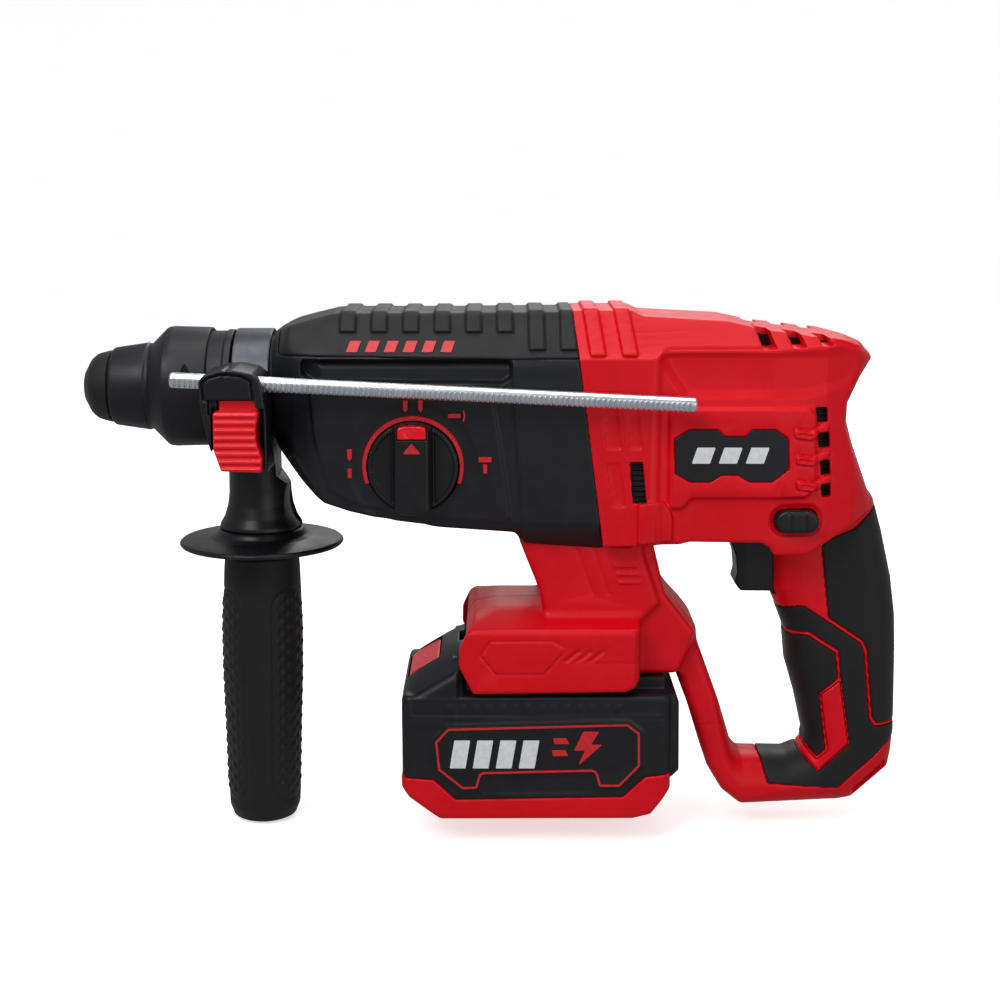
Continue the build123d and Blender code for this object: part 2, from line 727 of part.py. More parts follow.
def pack_head(grow=0.0):
    """Hump in front of the dock, and the railed block that slides into it."""
    hump = slab(grown(side([
        (PACK_X0 + 0.4, -129), (PACK_X0 + 0.4, -125), (136.6, -120.8), (144, -116.4), (151, -112.8),
        (156.4, -110.8), (156.4, -129),
    ]), grow), -PACK_HALF - grow, PACK_HALF + grow)
    section = Plane.YZ.offset(PACK_X0 - 5) * grown(make_face(Polyline(*mirrored([
        (PACK_HALF, -150), (PACK_HALF, -131.5), (20, -125.4),
    ]), close=True)), grow)
    hump &= extrude(section, amount=60, dir=(cos(radians(HUMP_RISE)), 0, sin(radians(HUMP_RISE))))
    neck = block(156, 243.5 + grow, -NECK_HALF - grow, NECK_HALF + grow, -126, -119.4 + grow)
    neck += block(156, 217.5 + grow, -NECK_HALF - grow, NECK_HALF + grow, -126, -111)
    start = RAILED_X0 - grow
    flange = block(start, 217.5 + grow, -FLANGE_HALF - grow, FLANGE_HALF + grow, -116.6 - grow, -110.4 + grow)
    deck = block(start, 217.5 + grow, -24 - grow, 24 + grow, -112, -102 + grow)
    return hump + neck + flange + deck


def base_zone():
    """Region of the red battery base, under its stepped edge."""
    points = [(120, -159.4), (146.4, -161.4), (155.6, -169.6), (225.5, -168), (234.6, -159.7), (260, -157),
              (260, -190), (120, -190)]
    return slab(side(points), -60, 60)


def battery_case_top():
    """Black upper shell of the battery pack with the railed head."""
    body = pack_form(0) + pack_head(0)
    body -= pack_form(-PACK_WALL) + pack_head(-PACK_WALL)
    body -= base_zone()
    body += slab(side([
        (PACK_X1, -125.6), (PACK_X1 + 2.6, -126.4), (PACK_X1 + 3.6, -134), (PACK_X1 + 3.6, -156),
        (PACK_X1, -157.4),
    ]), -24, 24)
    for y in blade_rows():
        body -= block(199, 219, y - 0.9, y + 0.9, -109.5, -101)
        body += block(197, 217.5, y - 2.4, y + 2.4, -110.4, -104) - block(199, 219, y - 0.9, y + 0.9, -109.5, -101)
    body -= latch_pocket()
    return body


def battery_case_base():
    return (pack_form(0) - pack_form(-PACK_WALL)) & base_zone()


def latch_pocket():
    """Opening in the hump for the release button and its tongue."""
    half = LATCH_HALF + 0.4
    well = block(LATCH_X0 - 0.4, 152.2, -half, half, -129, -90)
    return well + block(150, 156.4, -7.6, 7.6, -119.4, -96) + block(150, 172.5, -7.6, 7.6, -112, -96)


def battery_latch():
    """Release button with its tongue and catch lug."""
    tongue = side([
        (148, -114.6), (152.6, -109.4), (154.6, -105), (160.4, -105), (163.4, -100.4), (166.6, -100.4),
        (168, -104), (168, -108.6), (156, -108.6), (151.6, -116.2),
    ])
    button = side([(LATCH_X0, -122.2), (144, -116.2), (151.8, -112.2), (151.8, -116.4), (137.4, -125.8),
                   (LATCH_X0, -125)])
    return slab(tongue, -7.2, 7.2) + slab(button, -LATCH_HALF, LATCH_HALF)


def battery_cells():
    """Ten cells across the pack, in two rows."""
    cells = []
    for row, z in enumerate((-144.6, -164.2)):
        for number in range(5):
            x = 151 + CELL_PITCH * number
            cells.append(rod_y(-CELL_LENGTH / 2, CELL_LENGTH / 2, CELL_R, x, z))
    return cells


def cell_holder():
    """Two frames that space the cells."""
    frames = []
    for sign in (-1, 1):
        frame = block(140.5, 238.5, min(sign * 21, sign * 27), max(sign * 21, sign * 27), -173.6, -134.4)
        for cell in battery_cells():
            frame -= cell
        frames.append(frame & pack_form(-PACK_WALL - 0.4))
    return frames


def battery_board():
    """Charge board above the cells."""
    return block(150, 230, -28, 28, -131, -129.4)


def battery_labels():
    """Generic side panels of the pack: a thin plate with a cut-away lower edge."""
    points = [(146.5, -144), (152, -137.8), (227.2, -135.8), (232.6, -140), (232.9, -154.8), (224.2, -164.1),
              (215, -164.1), (213.3, -157.5), (166.5, -158.6), (164.8, -165), (158.1, -165.2), (147.7, -156.6)]
    return [slab(side(points), -PACK_HALF - 0.6, -PACK_HALF), slab(side(points), PACK_HALF, PACK_HALF + 0.6)]


# ---------------------------------------------------------------- mode dial
def mode_dial():
    """Round knob with a grip bar and a stem into the gear housing."""
    body = rod_y(DIAL_Y - 2.6, DIAL_Y - 0.3, DIAL_R, DIAL_X, DIAL_Z)
    grip = slab(Pos(DIAL_X, DIAL_Z) * SlotOverall(36.4, 13.4, rotation=90), DIAL_Y - 11.0, DIAL_Y - 2.6)
    grip &= rod_y(DIAL_Y - 12, DIAL_Y, DIAL_R, DIAL_X, DIAL_Z)
    top = [edge for edge in grip.edges() if abs(edge.center().Y - (DIAL_Y - 11.0)) < 0.01]
    grip = softened(grip, top, 1.2)
    stem = rod_y(DIAL_Y - 1, DIAL_Y + 14, 6.0, DIAL_X, DIAL_Z)
    fork = rod_y(DIAL_Y + 14, DIAL_Y + 19, 1.6, DIAL_X - 3.4, DIAL_Z)
    body = body + grip + stem + fork
    body -= block(DIAL_X - 6.0, DIAL_X + 6.0, DIAL_Y - 12, DIAL_Y - 4.6, DIAL_Z + 10.8, DIAL_Z + 20)
    return body - mark_face(0.5)


def mark_face(depth):
    face = DIAL_Y - 11.0
    points = [(DIAL_X - 3.6, DIAL_Z + 5.2), (DIAL_X + 3.6, DIAL_Z + 5.2), (DIAL_X, DIAL_Z + 9.6)]
    return slab(side(points), face - 0.4, face + depth)


def dial_button():
    """Release button at the pointer end of the bar."""
    body = block(DIAL_X - 5.7, DIAL_X + 5.7, DIAL_Y - 11.2, DIAL_Y - 7.0, DIAL_Z + 11.1, DIAL_Z + 17.6)
    body &= rod_y(DIAL_Y - 12, DIAL_Y, DIAL_R - 0.1, DIAL_X, DIAL_Z)
    edges = [edge for edge in body.edges() if edge.center().Y < DIAL_Y - 11.1]
    return softened(body, edges, 0.8)


# ---------------------------------------------------------------- side handle
def clamp_strap():
    """Steel band around the collar with two lugs for the clamp bolt."""
    band = ring_x(COLLAR_X0 + 0.6, COLLAR_X1 - 0.4, STRAP_R, COLLAR_R + 0.3)
    lug = block(COLLAR_X0 + 1.5, COLLAR_X1 - 1.5, -5, 5, -33, -23.6)
    head = block(GRIP_X - 5.9, GRIP_X + 5.9, -4.9, 4.9, -28.1, -20)
    return band + (lug - head) - rod_z(-34, -20, 4.2, GRIP_X)


def rod_axis(x):
    """Height of the depth rod's axis at a place along the tool."""
    return ROD_START[1] - (x - ROD_START[0]) * tan(radians(ROD_TILT))


def rod_bar(start, length, radius):
    """Round bar along the tilted rod axis."""
    bar_solid = Cylinder(radius, length, align=(Align.CENTER, Align.CENTER, Align.MIN))
    x, z = ROD_START
    place = Pos(x + start * cos(radians(ROD_TILT)), ROD_Y, z - start * sin(radians(ROD_TILT)))
    return place * Rot(0, 90 + ROD_TILT, 0) * bar_solid


def clamp_head():
    """Handle head: neck and foot, saddle under the band and housing of the rod lock."""
    neck = turned_z([
        (0, -60), (17.6, -60), (17.6, -57.5), (15.2, -53), (13.4, -46), (13.2, -38), (13.4, -28), (13.0, -20),
        (0, -20),
    ], GRIP_X)
    arch = side([(62.0, -29), (58.8, -16), (57.2, 0), (57.2, 9.2), (59.6, 11.4), (66.5, 12.8), (71.5, 12.8),
                 (78.6, 11.4), (81.2, 8.8), (82.0, 4), (82.0, -29)])
    housing = slab(arch, -51.4, -22)
    cheek = slab(side([(58.5, -36), (82, -36), (82, -20), (58.5, -20)]), -34, 8)
    body = neck + housing + cheek
    body -= rod_x(50, 81.0, STRAP_R + 0.3)
    body -= turned_x([(79.9, 0), (79.9, 38), (90, 46), (90, 0)])
    body -= rod_x(50, 62, STRAP_R + 1.3)
    body -= block(COLLAR_X0, COLLAR_X1 + 1, -5.4, 5.4, -34, -20)
    body -= rod_z(-62, -20, 4.2, GRIP_X)
    body -= rod_bar(5, 45, ROD_R + 0.3)
    body -= button_pocket()
    return body


def button_pocket():
    """Front opening for the release pad, and the deeper well that its tongue slides in."""
    return block(60.4, 81.0, -60, -43.9, -30, -2.6) + block(62, 79.5, -48.4, -41.5, -30, 2.4)


def rod_button():
    """Ribbed release pad of the rod lock, with its toothed tongue under the rod."""
    outline = side([(61.2, -3.8), (79.4, -3.8), (77.9, -14.5), (80.3, -22.5), (79.8, -27.7), (63.8, -27.0),
                    (61.0, -18.5)])
    pad = slab(outline, -54.2, -46.5)
    for number in range(7):
        z = -6.0 - 3.1 * number
        pad -= block(60, 81, -54.6, -53.4, z - 0.9, z)
    tongue = block(63, 78.5, -48, -44.4, -20, 1.6)
    return pad + tongue


def depth_rod():
    """Toothed steel depth rod."""
    body = rod_bar(0, ROD_LENGTH, ROD_R)
    teeth = []
    for number in range(ROD_TEETH):
        start = 2.4 + TOOTH_PITCH * number
        notch = rod_bar(start, 0.9, ROD_R + 1)
        x = ROD_START[0] + start
        low = rod_axis(x)
        teeth.append(notch & block(x - 4, x + 4, ROD_Y - 5, ROD_Y + 0.6, low - 5, low - 0.6))
    return body - teeth


def handle_flange():
    """Hand guard disc with a raised collar."""
    return turned_z([
        (9.2, -60.4), (17.8, -60.4), (20.5, -63.2), (30, -64.4), (FLANGE_R - 1, -65.2), (FLANGE_R, -66.5),
        (FLANGE_R - 1, -68.0), (24, -69.6), (16, -71.2), (9.2, -71.2),
    ], GRIP_X)


def handle_core():
    """Stiff inner tube of the grip with a nut pocket."""
    body = turned_z([(4.4, -60.4), (9.0, -60.4), (9.0, -71.4), (11, -73), (11, -184), (4.4, -184)], GRIP_X)
    nut = Pos(GRIP_X, 0, -103) * extrude(RegularPolygon(7.6, 6), 7)
    return body - nut


def side_grip():
    """Soft grip skin over the core."""
    return turned_z([
        (11, -71.4), (15.2, -71.4), (16.0, -75), (16.2, -86), (17.2, -104), (17.2, -124), (16.2, -150),
        (15.6, -176), (15.4, -183), (13.6, -188.6), (11.4, GRIP_END), (0, GRIP_END), (0, -184.2), (11, -184.2),
    ], GRIP_X)


def clamp_bolt():
    """Square-headed bolt that pulls the band tight."""
    return rod_z(-120, -27.8, 4.0, GRIP_X) + block(GRIP_X - 5.6, GRIP_X + 5.6, -4.6, 4.6, -27.8, -24.5)


def clamp_nut():
    nut = Pos(GRIP_X, 0, -102.8) * extrude(RegularPolygon(7.4, 6), 6.5)
    return nut - rod_z(-104, -95, 4.3, GRIP_X)


# ---------------------------------------------------------------- assembly
def main():
    os.makedirs("parts", exist_ok=True)
    save("dust_cap", dust_cap())
    save("tool_holder", tool_holder())
    save("lock_rollers", *lock_rollers())
    save("locking_sleeve", locking_sleeve())
    save("sleeve_spring", sleeve_spring())
    save("sleeve_cover_ring", sleeve_cover_ring())
    save("spindle_tube", spindle_tube())
    save("spindle_gear", spindle_gear())
    save("spindle_bearing", bearing(84, 94, 19.0, 13.55))
    save("front_seal", front_seal())
    save("impact_bolt", impact_bolt())
    save("striker", striker())
    save("piston", piston())
    save("wobble_bearing", wobble_bearing())
    save("intermediate_shaft", intermediate_shaft())
    save("intermediate_pinion", intermediate_pinion())
    save("intermediate_gear", intermediate_gear())
    save("mode_clutch", mode_clutch())
    save("intermediate_bearings", bearing(97.2, 103, 9.5, 5.05, SHAFT_Z), bearing(188, 194.4, 9.5, 5.05, SHAFT_Z))
    save("motor_shaft", motor_shaft())
    save("rotor", rotor())
    save("fan", fan())
    save("stator", stator())
    save("motor_bearings", bearing(194.2, 200.6, 9.5, 2.55, MOTOR_Z), bearing(283, 288.5, 8.0, 2.55, MOTOR_Z))
    save("bearing_plate", bearing_plate())
    save("plate_screws", *plate_screws())
    save("gear_housing", gear_housing())
    save("top_pad", top_pad())
    red = red_housing()
    save("housing_left", split(red, -1) - screw_holes(-1))
    save("housing_right", split(red, 1) - screw_holes(1))
    save("housing_screws", *housing_screws())
    save("side_badges", side_badges())
    save("grip_overmould", *grip_overmould())
    save("grip_panels", handle_skin(window_pad_zone()) & panel_zone())
    save("reversing_lever", lever_bar())
    save("trigger", trigger())
    save("trigger_switch", trigger_switch())
    save("trigger_spring", trigger_spring())
    save("controller", controller())
    save("wires", *wires())
    save("dock_rails", *dock_rails())
    save("terminal_block", terminal_block())
    save("battery_case_top", battery_case_top())
    save("battery_case_base", battery_case_base())
    save("battery_latch", battery_latch())
    save("battery_cells", *battery_cells())
    save("cell_holder", *cell_holder())
    save("battery_board", battery_board())
    save("battery_labels", *battery_labels())
    save("mode_dial", mode_dial())
    save("dial_button", dial_button())
    save("clamp_strap", clamp_strap())
    save("clamp_head", clamp_head())
    save("rod_button", rod_button())
    save("depth_rod", depth_rod())
    save("handle_flange", handle_flange())
    save("handle_core", handle_core())
    save("side_grip", side_grip())
    save("clamp_bolt", clamp_bolt())
    save("clamp_nut", clamp_nut())


main()
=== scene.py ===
"""Looks of the cordless rotary hammer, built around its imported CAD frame.

Large shells are made as distance fields in millimetres, in the row frame, and meshed on a regular grid.
-Y is the side with the mode dial. Everything is turned into metres when its mesh is made.
"""
import math

import bpy
import bmesh
import numpy as np
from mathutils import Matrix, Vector


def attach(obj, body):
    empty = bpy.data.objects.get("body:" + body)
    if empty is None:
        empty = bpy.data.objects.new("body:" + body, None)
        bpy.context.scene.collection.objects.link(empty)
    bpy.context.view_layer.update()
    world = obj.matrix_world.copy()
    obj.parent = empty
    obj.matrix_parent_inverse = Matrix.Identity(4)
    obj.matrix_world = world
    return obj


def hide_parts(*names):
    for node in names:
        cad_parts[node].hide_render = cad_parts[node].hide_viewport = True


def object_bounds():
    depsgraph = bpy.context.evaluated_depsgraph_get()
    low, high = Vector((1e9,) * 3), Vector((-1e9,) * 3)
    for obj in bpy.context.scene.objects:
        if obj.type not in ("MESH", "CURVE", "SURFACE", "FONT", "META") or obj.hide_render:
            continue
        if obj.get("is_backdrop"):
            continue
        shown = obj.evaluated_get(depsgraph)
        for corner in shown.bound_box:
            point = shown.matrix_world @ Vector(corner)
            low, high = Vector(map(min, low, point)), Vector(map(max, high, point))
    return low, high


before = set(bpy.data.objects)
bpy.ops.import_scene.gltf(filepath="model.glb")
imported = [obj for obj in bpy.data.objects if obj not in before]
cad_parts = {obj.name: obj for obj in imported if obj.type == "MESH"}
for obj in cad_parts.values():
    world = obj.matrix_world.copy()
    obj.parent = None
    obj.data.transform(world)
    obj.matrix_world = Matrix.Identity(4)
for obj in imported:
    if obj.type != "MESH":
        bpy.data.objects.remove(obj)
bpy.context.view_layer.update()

MM = 0.001

# ---------------------------------------------------------------- driving sizes, millimetres
SEAM_X = 202.6           # joint plane of the black and red housings, at Z = 40
SEAM_LEAN = math.tan(math.radians(7.6))
REAR_HALF = 33.2         # half width of the motor housing behind its shoulder block
HANDLE_HALF = 17.0
COLUMN_HALF = 27.0
PACK_HALF = 37.5
PAD = 1.8
DIAL = (138.8, -28.4)
GRIP_X = 72.0
ROD_START = (43.3, 8.0)
ROD_Y = -44.0
ROD_TILT = math.radians(2.74)
ROD_LENGTH = 209.0
HUMP_RISE = 31.0         # slope of the pack's front, degrees
LATCH_HALF = 16.0
LATCH_X0 = 135.4
LEVER = (295.2, -51.4)    # middle of the reversing lever
NOSE_X = 79.9            # front of the gear housing
BADGE_MIDDLE = (267.8, -24.0)
PACK_TURN = 380.6        # twice the pack's middle X, to turn its far-side marks round
FAR = 5                  # a distance that is outside any shape
SIDES = ((-1, "left"), (1, "right"))


# ---------------------------------------------------------------- distance fields
def rmax(a, b, r):
    """Intersection of two fields with a rounded edge of radius r."""
    return np.minimum(np.maximum(a, b), -r) + np.hypot(np.maximum(a + r, 0), np.maximum(b + r, 0))


def rmin(a, b, r):
    """Union of two fields with a fillet of radius r."""
    return -rmax(-a, -b, r)


def rounded(points, radius):
    """The outline's corners replaced by short arcs; radius is one value or one for each corner."""
    count = len(points)
    radii = [radius] * count if isinstance(radius, (int, float)) else radius
    result = []
    for i, r in enumerate(radii):
        here = np.array(points[i], float)
        before = np.array(points[i - 1], float) - here
        after = np.array(points[(i + 1) % count], float) - here
        la, lb = np.linalg.norm(before), np.linalg.norm(after)
        before, after = before / la, after / lb
        half = math.acos(max(-1.0, min(1.0, float(before @ after)))) / 2
        if r <= 0 or half > 1.53:
            result.append(tuple(here))
            continue
        reach = min(r / math.tan(half), 0.48 * la, 0.48 * lb)
        r = reach * math.tan(half)
        middle = here + (before + after) / np.linalg.norm(before + after) * (r / math.sin(half))
        start, end = here + before * reach - middle, here + after * reach - middle
        steps = max(2, int(math.degrees(math.pi - 2 * half) / 12))
        for k in range(steps + 1):
            v = start * (1 - k / steps) + end * (k / steps)
            result.append(tuple(middle + v / np.linalg.norm(v) * r))
    return result


def outline(points, radius=0.0):
    """Signed distance to a closed outline, as a function of two coordinates."""
    corners = np.array(rounded(points, radius) if radius else points, np.float32)

    def distance(u, v):
        best = None
        inside = None
        for a, b in zip(corners, np.roll(corners, -1, axis=0)):
            e = b - a
            length = float(e @ e)
            if length < 1e-9:
                continue
            pu, pv = u - a[0], v - a[1]
            t = np.clip((pu * e[0] + pv * e[1]) / length, 0, 1)
            d = (pu - e[0] * t) ** 2 + (pv - e[1] * t) ** 2
            crossing = (a[1] <= v) != (b[1] <= v)
            if abs(e[1]) > 1e-9:
                crossing = crossing & (pu < e[0] * pv / e[1])
            best = d if best is None else np.minimum(best, d)
            inside = crossing if inside is None else inside ^ crossing
        return np.sqrt(best) * np.where(inside, -1, 1)

    return distance


class Block:
    """A box of space sampled on a regular grid."""

    def __init__(self, low, high, step):
        self.step = step
        self.axes = [np.arange(a - 3 * step, b + 3 * step, step, dtype=np.float32) for a, b in zip(low,
                                                                                                   high)]
        self.x = self.axes[0][:, None, None]
        self.y = self.axes[1][None, :, None]
        self.z = self.axes[2][None, None, :]

    def side(self, shape):
        return shape(self.axes[0][:, None], self.axes[2][None, :]).astype(np.float32)[:, None, :]

    def shape(self, points, radius=0.0):
        """Distance to an X-Z outline."""
        return self.side(outline(points, radius))

    def section(self, shape):
        return shape(self.axes[1][:, None], self.axes[2][None, :]).astype(np.float32)[None, :, :]

    def plan(self, shape):
        return shape(self.axes[0][:, None], self.axes[1][None, :]).astype(np.float32)[:, :, None]

    def box(self, x0, x1, y0, y1, z0, z1):
        dx = np.abs(self.x - (x0 + x1) / 2) - (x1 - x0) / 2
        dy = np.abs(self.y - (y0 + y1) / 2) - (y1 - y0) / 2
        dz = np.abs(self.z - (z0 + z1) / 2) - (z1 - z0) / 2
        return np.maximum(np.maximum(dx, dy), dz)

    def by_height(self, heights, values):
        """Values read off a table of heights."""
        return np.interp(self.axes[2], heights, values).astype(np.float32)[None, None, :]

    def along_y(self, x, z, r):
        return np.hypot(self.x - x, self.z - z) - r

    def along_x(self, y, z, r):
        return np.hypot(self.y - y, self.z - z) - r


def press(field, shape, depth, soft=0.5):
    """Lower the surface by depth inside a shape, or raise it for a negative depth."""
    return field + depth * np.clip(0.5 - shape / soft, 0, 1)


def cut(field, shape):
    """Take a shape away from a solid."""
    return np.maximum(field, -shape)


def line(shape, width):
    """A band of a given width along a shape's outline."""
    return np.abs(shape) - width / 2


CORNERS = np.array([(i, j, k) for i in (0, 1) for j in (0, 1) for k in (0, 1)])
EDGES = [(a, b) for a in range(8) for b in range(a + 1, 8) if bin(a ^ b).count("1") == 1]


def surface(block, field):
    """Vertices and quads of the field's zero surface, one vertex in each crossed cell."""
    field = np.broadcast_to(field, tuple(len(a) for a in block.axes)).astype(np.float32)
    inside = field < 0
    count = sum(inside[i:inside.shape[0] - 1 + i, j:inside.shape[1] - 1 + j, k:inside.shape[2] - 1 + k]
                .astype(np.int8) for i, j, k in CORNERS)
    active = (count > 0) & (count < 8)
    cells = np.argwhere(active)
    number = np.full(active.shape, -1, np.int32)
    number[active] = np.arange(len(cells), dtype=np.int32)
    values = np.stack([field[cells[:, 0] + i, cells[:, 1] + j, cells[:, 2] + k] for i, j, k in CORNERS], 1)
    total = np.zeros((len(cells), 3))
    hits = np.zeros(len(cells))
    for a, b in EDGES:
        va, vb = values[:, a], values[:, b]
        cross = (va < 0) != (vb < 0)
        t = np.where(cross, va / np.where(cross, va - vb, 1), 0)
        point = CORNERS[a] + t[:, None] * (CORNERS[b] - CORNERS[a])
        total += np.where(cross[:, None], point, 0)
        hits += cross
    local = total / hits[:, None]
    for _ in range(2):
        local = np.clip(project(local, values), 0.02, 0.98)
    origin = np.array([a[0] for a in block.axes])
    vertices = origin + (cells + local) * block.step
    quads = []
    for axis in range(3):
        step = np.eye(3, dtype=int)[axis]
        one, two = np.eye(3, dtype=int)[(axis + 1) % 3], np.eye(3, dtype=int)[(axis + 2) % 3]
        size = np.array(inside.shape) - step
        first = inside[:size[0], :size[1], :size[2]]
        second = inside[step[0]:, step[1]:, step[2]:]
        edges = np.argwhere(first != second)
        keep = (edges[:, (axis + 1) % 3] > 0) & (edges[:, (axis + 2) % 3] > 0)
        limit = np.array(active.shape)
        keep &= (edges < limit).all(1)
        edges = edges[keep]
        ids = [number[tuple((edges - s).T)] for s in (one * 0, one, one + two, two)]
        face = np.stack(ids, 1)
        flip = first[tuple(edges.T)]
        face[~flip] = face[~flip][:, ::-1]
        quads.append(face)
    return vertices, np.concatenate(quads)


def project(local, values):
    """Move each vertex along the field's slope onto the zero surface, within its cell."""
    x, y, z = local[:, 0], local[:, 1], local[:, 2]
    slope = np.zeros_like(local)
    total = np.zeros(len(local))
    for n, (i, j, k) in enumerate(CORNERS):
        wx, wy, wz = (x if i else 1 - x), (y if j else 1 - y), (z if k else 1 - z)
        v = values[:, n]
        total += v * wx * wy * wz
        slope[:, 0] += v * (1 if i else -1) * wy * wz
        slope[:, 1] += v * (1 if j else -1) * wx * wz
        slope[:, 2] += v * (1 if k else -1) * wx * wy
    length = np.maximum((slope ** 2).sum(1), 1e-3)
    return local - slope * (total / length)[:, None]


# ---------------------------------------------------------------- meshes
def mesh_object(name, vertices, faces, sharp=40):
    """An object from millimetre vertices and quads or mixed faces, shaded smooth but for sharp edges."""
    mesh = bpy.data.meshes.new(name)
    vertices = np.asarray(vertices, np.float64) * MM
    if isinstance(faces, np.ndarray):
        mesh.vertices.add(len(vertices))
        mesh.vertices.foreach_set("co", vertices.astype(np.float32).ravel())
        mesh.loops.add(faces.size)
        mesh.loops.foreach_set("vertex_index", faces.astype(np.int32).ravel())
        mesh.polygons.add(len(faces))
        mesh.polygons.foreach_set("loop_start", np.arange(0, faces.size, faces.shape[1], dtype=np.int32))
        mesh.update(calc_edges=True)
    else:
        mesh.from_pydata([tuple(v) for v in vertices], [], [tuple(f) for f in faces])
    mesh.validate()
    mesh.shade_smooth()
    if sharp:
        mesh.set_sharp_from_angle(angle=math.radians(sharp))
    piece = bpy.data.objects.new(name, mesh)
    bpy.context.scene.collection.objects.link(piece)
    return piece


def finish_piece(piece, body, slot, material, *nodes):
    """Give a piece its material and body, and hide the CAD nodes that it stands for; slot is not used."""
    piece.data.materials.append(material)
    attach(piece, body)
    if nodes:
        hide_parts(*nodes)
    return piece


def thin_out(piece, ratio):
    """Collapse the flattest faces, keeping the shape."""
    modifier = piece.modifiers.new("thin_out", "DECIMATE")
    modifier.ratio = ratio
    return piece


def field_piece(name, block, field, body, slot, material, nodes=(), ratio=0.5):
    vertices, quads = surface(block, field)
    piece = mesh_object(name, vertices, quads, sharp=50)
    thin_out(piece, ratio)
    return finish_piece(piece, body, slot, material, *nodes)


def lathe(name, profile, axis="x", centre=(0, 0, 0), turns=144, sharp=30, shape=None):
    """A closed (along, radius) profile turned about an axis; shape may bend each radius."""
    vertices = []
    for i in range(turns):
        a = 2 * math.pi * i / turns
        for along, r in profile:
            r = shape(along, r, a) if shape else r
            if axis == "x":
                vertices.append((centre[0] + along, centre[1] + r * math.cos(a),
                                 centre[2] + r * math.sin(a)))
            elif axis == "y":
                vertices.append((centre[0] + r * math.cos(a), centre[1] + along,
                                 centre[2] - r * math.sin(a)))
            else:
                vertices.append((centre[0] + r * math.cos(a), centre[1] + r * math.sin(a),
                                 centre[2] + along))
    n = len(profile)
    faces = []
    for i in range(turns):
        j = (i + 1) % turns
        for k in range(n):
            m = (k + 1) % n
            faces.append((i * n + k, j * n + k, j * n + m, i * n + m))
    return mesh_object(name, vertices, np.array(faces), sharp=sharp)


def prism(name, points, y0, y1, bevel=0.25, radius=0.0):
    """A flat X-Z outline made thick along Y, with bevelled edges."""
    points = rounded(points, radius) if radius else points
    n = len(points)
    vertices = [(x, y0, z) for x, z in points] + [(x, y1, z) for x, z in points]
    faces = [tuple(range(n))[::-1], tuple(range(n, 2 * n))]
    faces += [(i, (i + 1) % n, n + (i + 1) % n, n + i) for i in range(n)]
    piece = mesh_object(name, vertices, faces, sharp=40)
    fix_normals(piece)
    if bevel:
        modifier = piece.modifiers.new("edges", "BEVEL")
        modifier.width = bevel * MM
        modifier.segments = 3
        modifier.limit_method = "ANGLE"
    return piece


def fix_normals(piece):
    shape = bmesh.new()
    shape.from_mesh(piece.data)
    bmesh.ops.recalc_face_normals(shape, faces=shape.faces)
    shape.to_mesh(piece.data)
    shape.free()


# ---------------------------------------------------------------- materials
def nodes_of(name):
    material = bpy.data.materials.new(name)
    material.use_nodes = True
    tree = material.node_tree
    tree.nodes.clear()
    out = tree.nodes.new("ShaderNodeOutputMaterial")
    shader = tree.nodes.new("ShaderNodeBsdfPrincipled")
    tree.links.new(shader.outputs["BSDF"], out.inputs["Surface"])
    where = tree.nodes.new("ShaderNodeTexCoord")
    return material, tree, shader, where


def noise(tree, where, scale, detail=4.0, rough=0.55, stretch=None):
    node = tree.nodes.new("ShaderNodeTexNoise")
    node.inputs["Scale"].default_value = scale
    node.inputs["Detail"].default_value = detail
    node.inputs["Roughness"].default_value = rough
    source = where.outputs["Object"]
    if stretch:
        mapping = tree.nodes.new("ShaderNodeMapping")
        mapping.inputs["Scale"].default_value = stretch
        tree.links.new(source, mapping.inputs["Vector"])
        source = mapping.outputs["Vector"]
    tree.links.new(source, node.inputs["Vector"])
    return node.outputs["Fac"]


def span(tree, value, low, high, start=0.0, end=1.0):
    node = tree.nodes.new("ShaderNodeMapRange")
    node.inputs["From Min"].default_value = start
    node.inputs["From Max"].default_value = end
    node.inputs["To Min"].default_value = low
    node.inputs["To Max"].default_value = high
    tree.links.new(value, node.inputs["Value"])
    return node.outputs["Result"]


def blend_colour(tree, factor, first, second):
    """Mix two colours, each a tuple or another node's output."""
    node = tree.nodes.new("ShaderNodeMix")
    node.data_type = "RGBA"
    tree.links.new(factor, node.inputs[0])
    for socket, colour in ((6, first), (7, second)):
        if isinstance(colour, tuple):
            node.inputs[socket].default_value = (*colour, 1.0)
        else:
            tree.links.new(colour, node.inputs[socket])
    return node.outputs[2]


def bumps(tree, shader, heights):
    """Chain bump nodes; each height is (value, strength, distance in metres)."""
    normal = None
    for value, strength, distance in heights:
        node = tree.nodes.new("ShaderNodeBump")
        node.inputs["Strength"].default_value = strength
        node.inputs["Distance"].default_value = distance
        tree.links.new(value, node.inputs["Height"])
        if normal:
            tree.links.new(normal, node.inputs["Normal"])
        normal = node.outputs["Normal"]
    tree.links.new(normal, shader.inputs["Normal"])


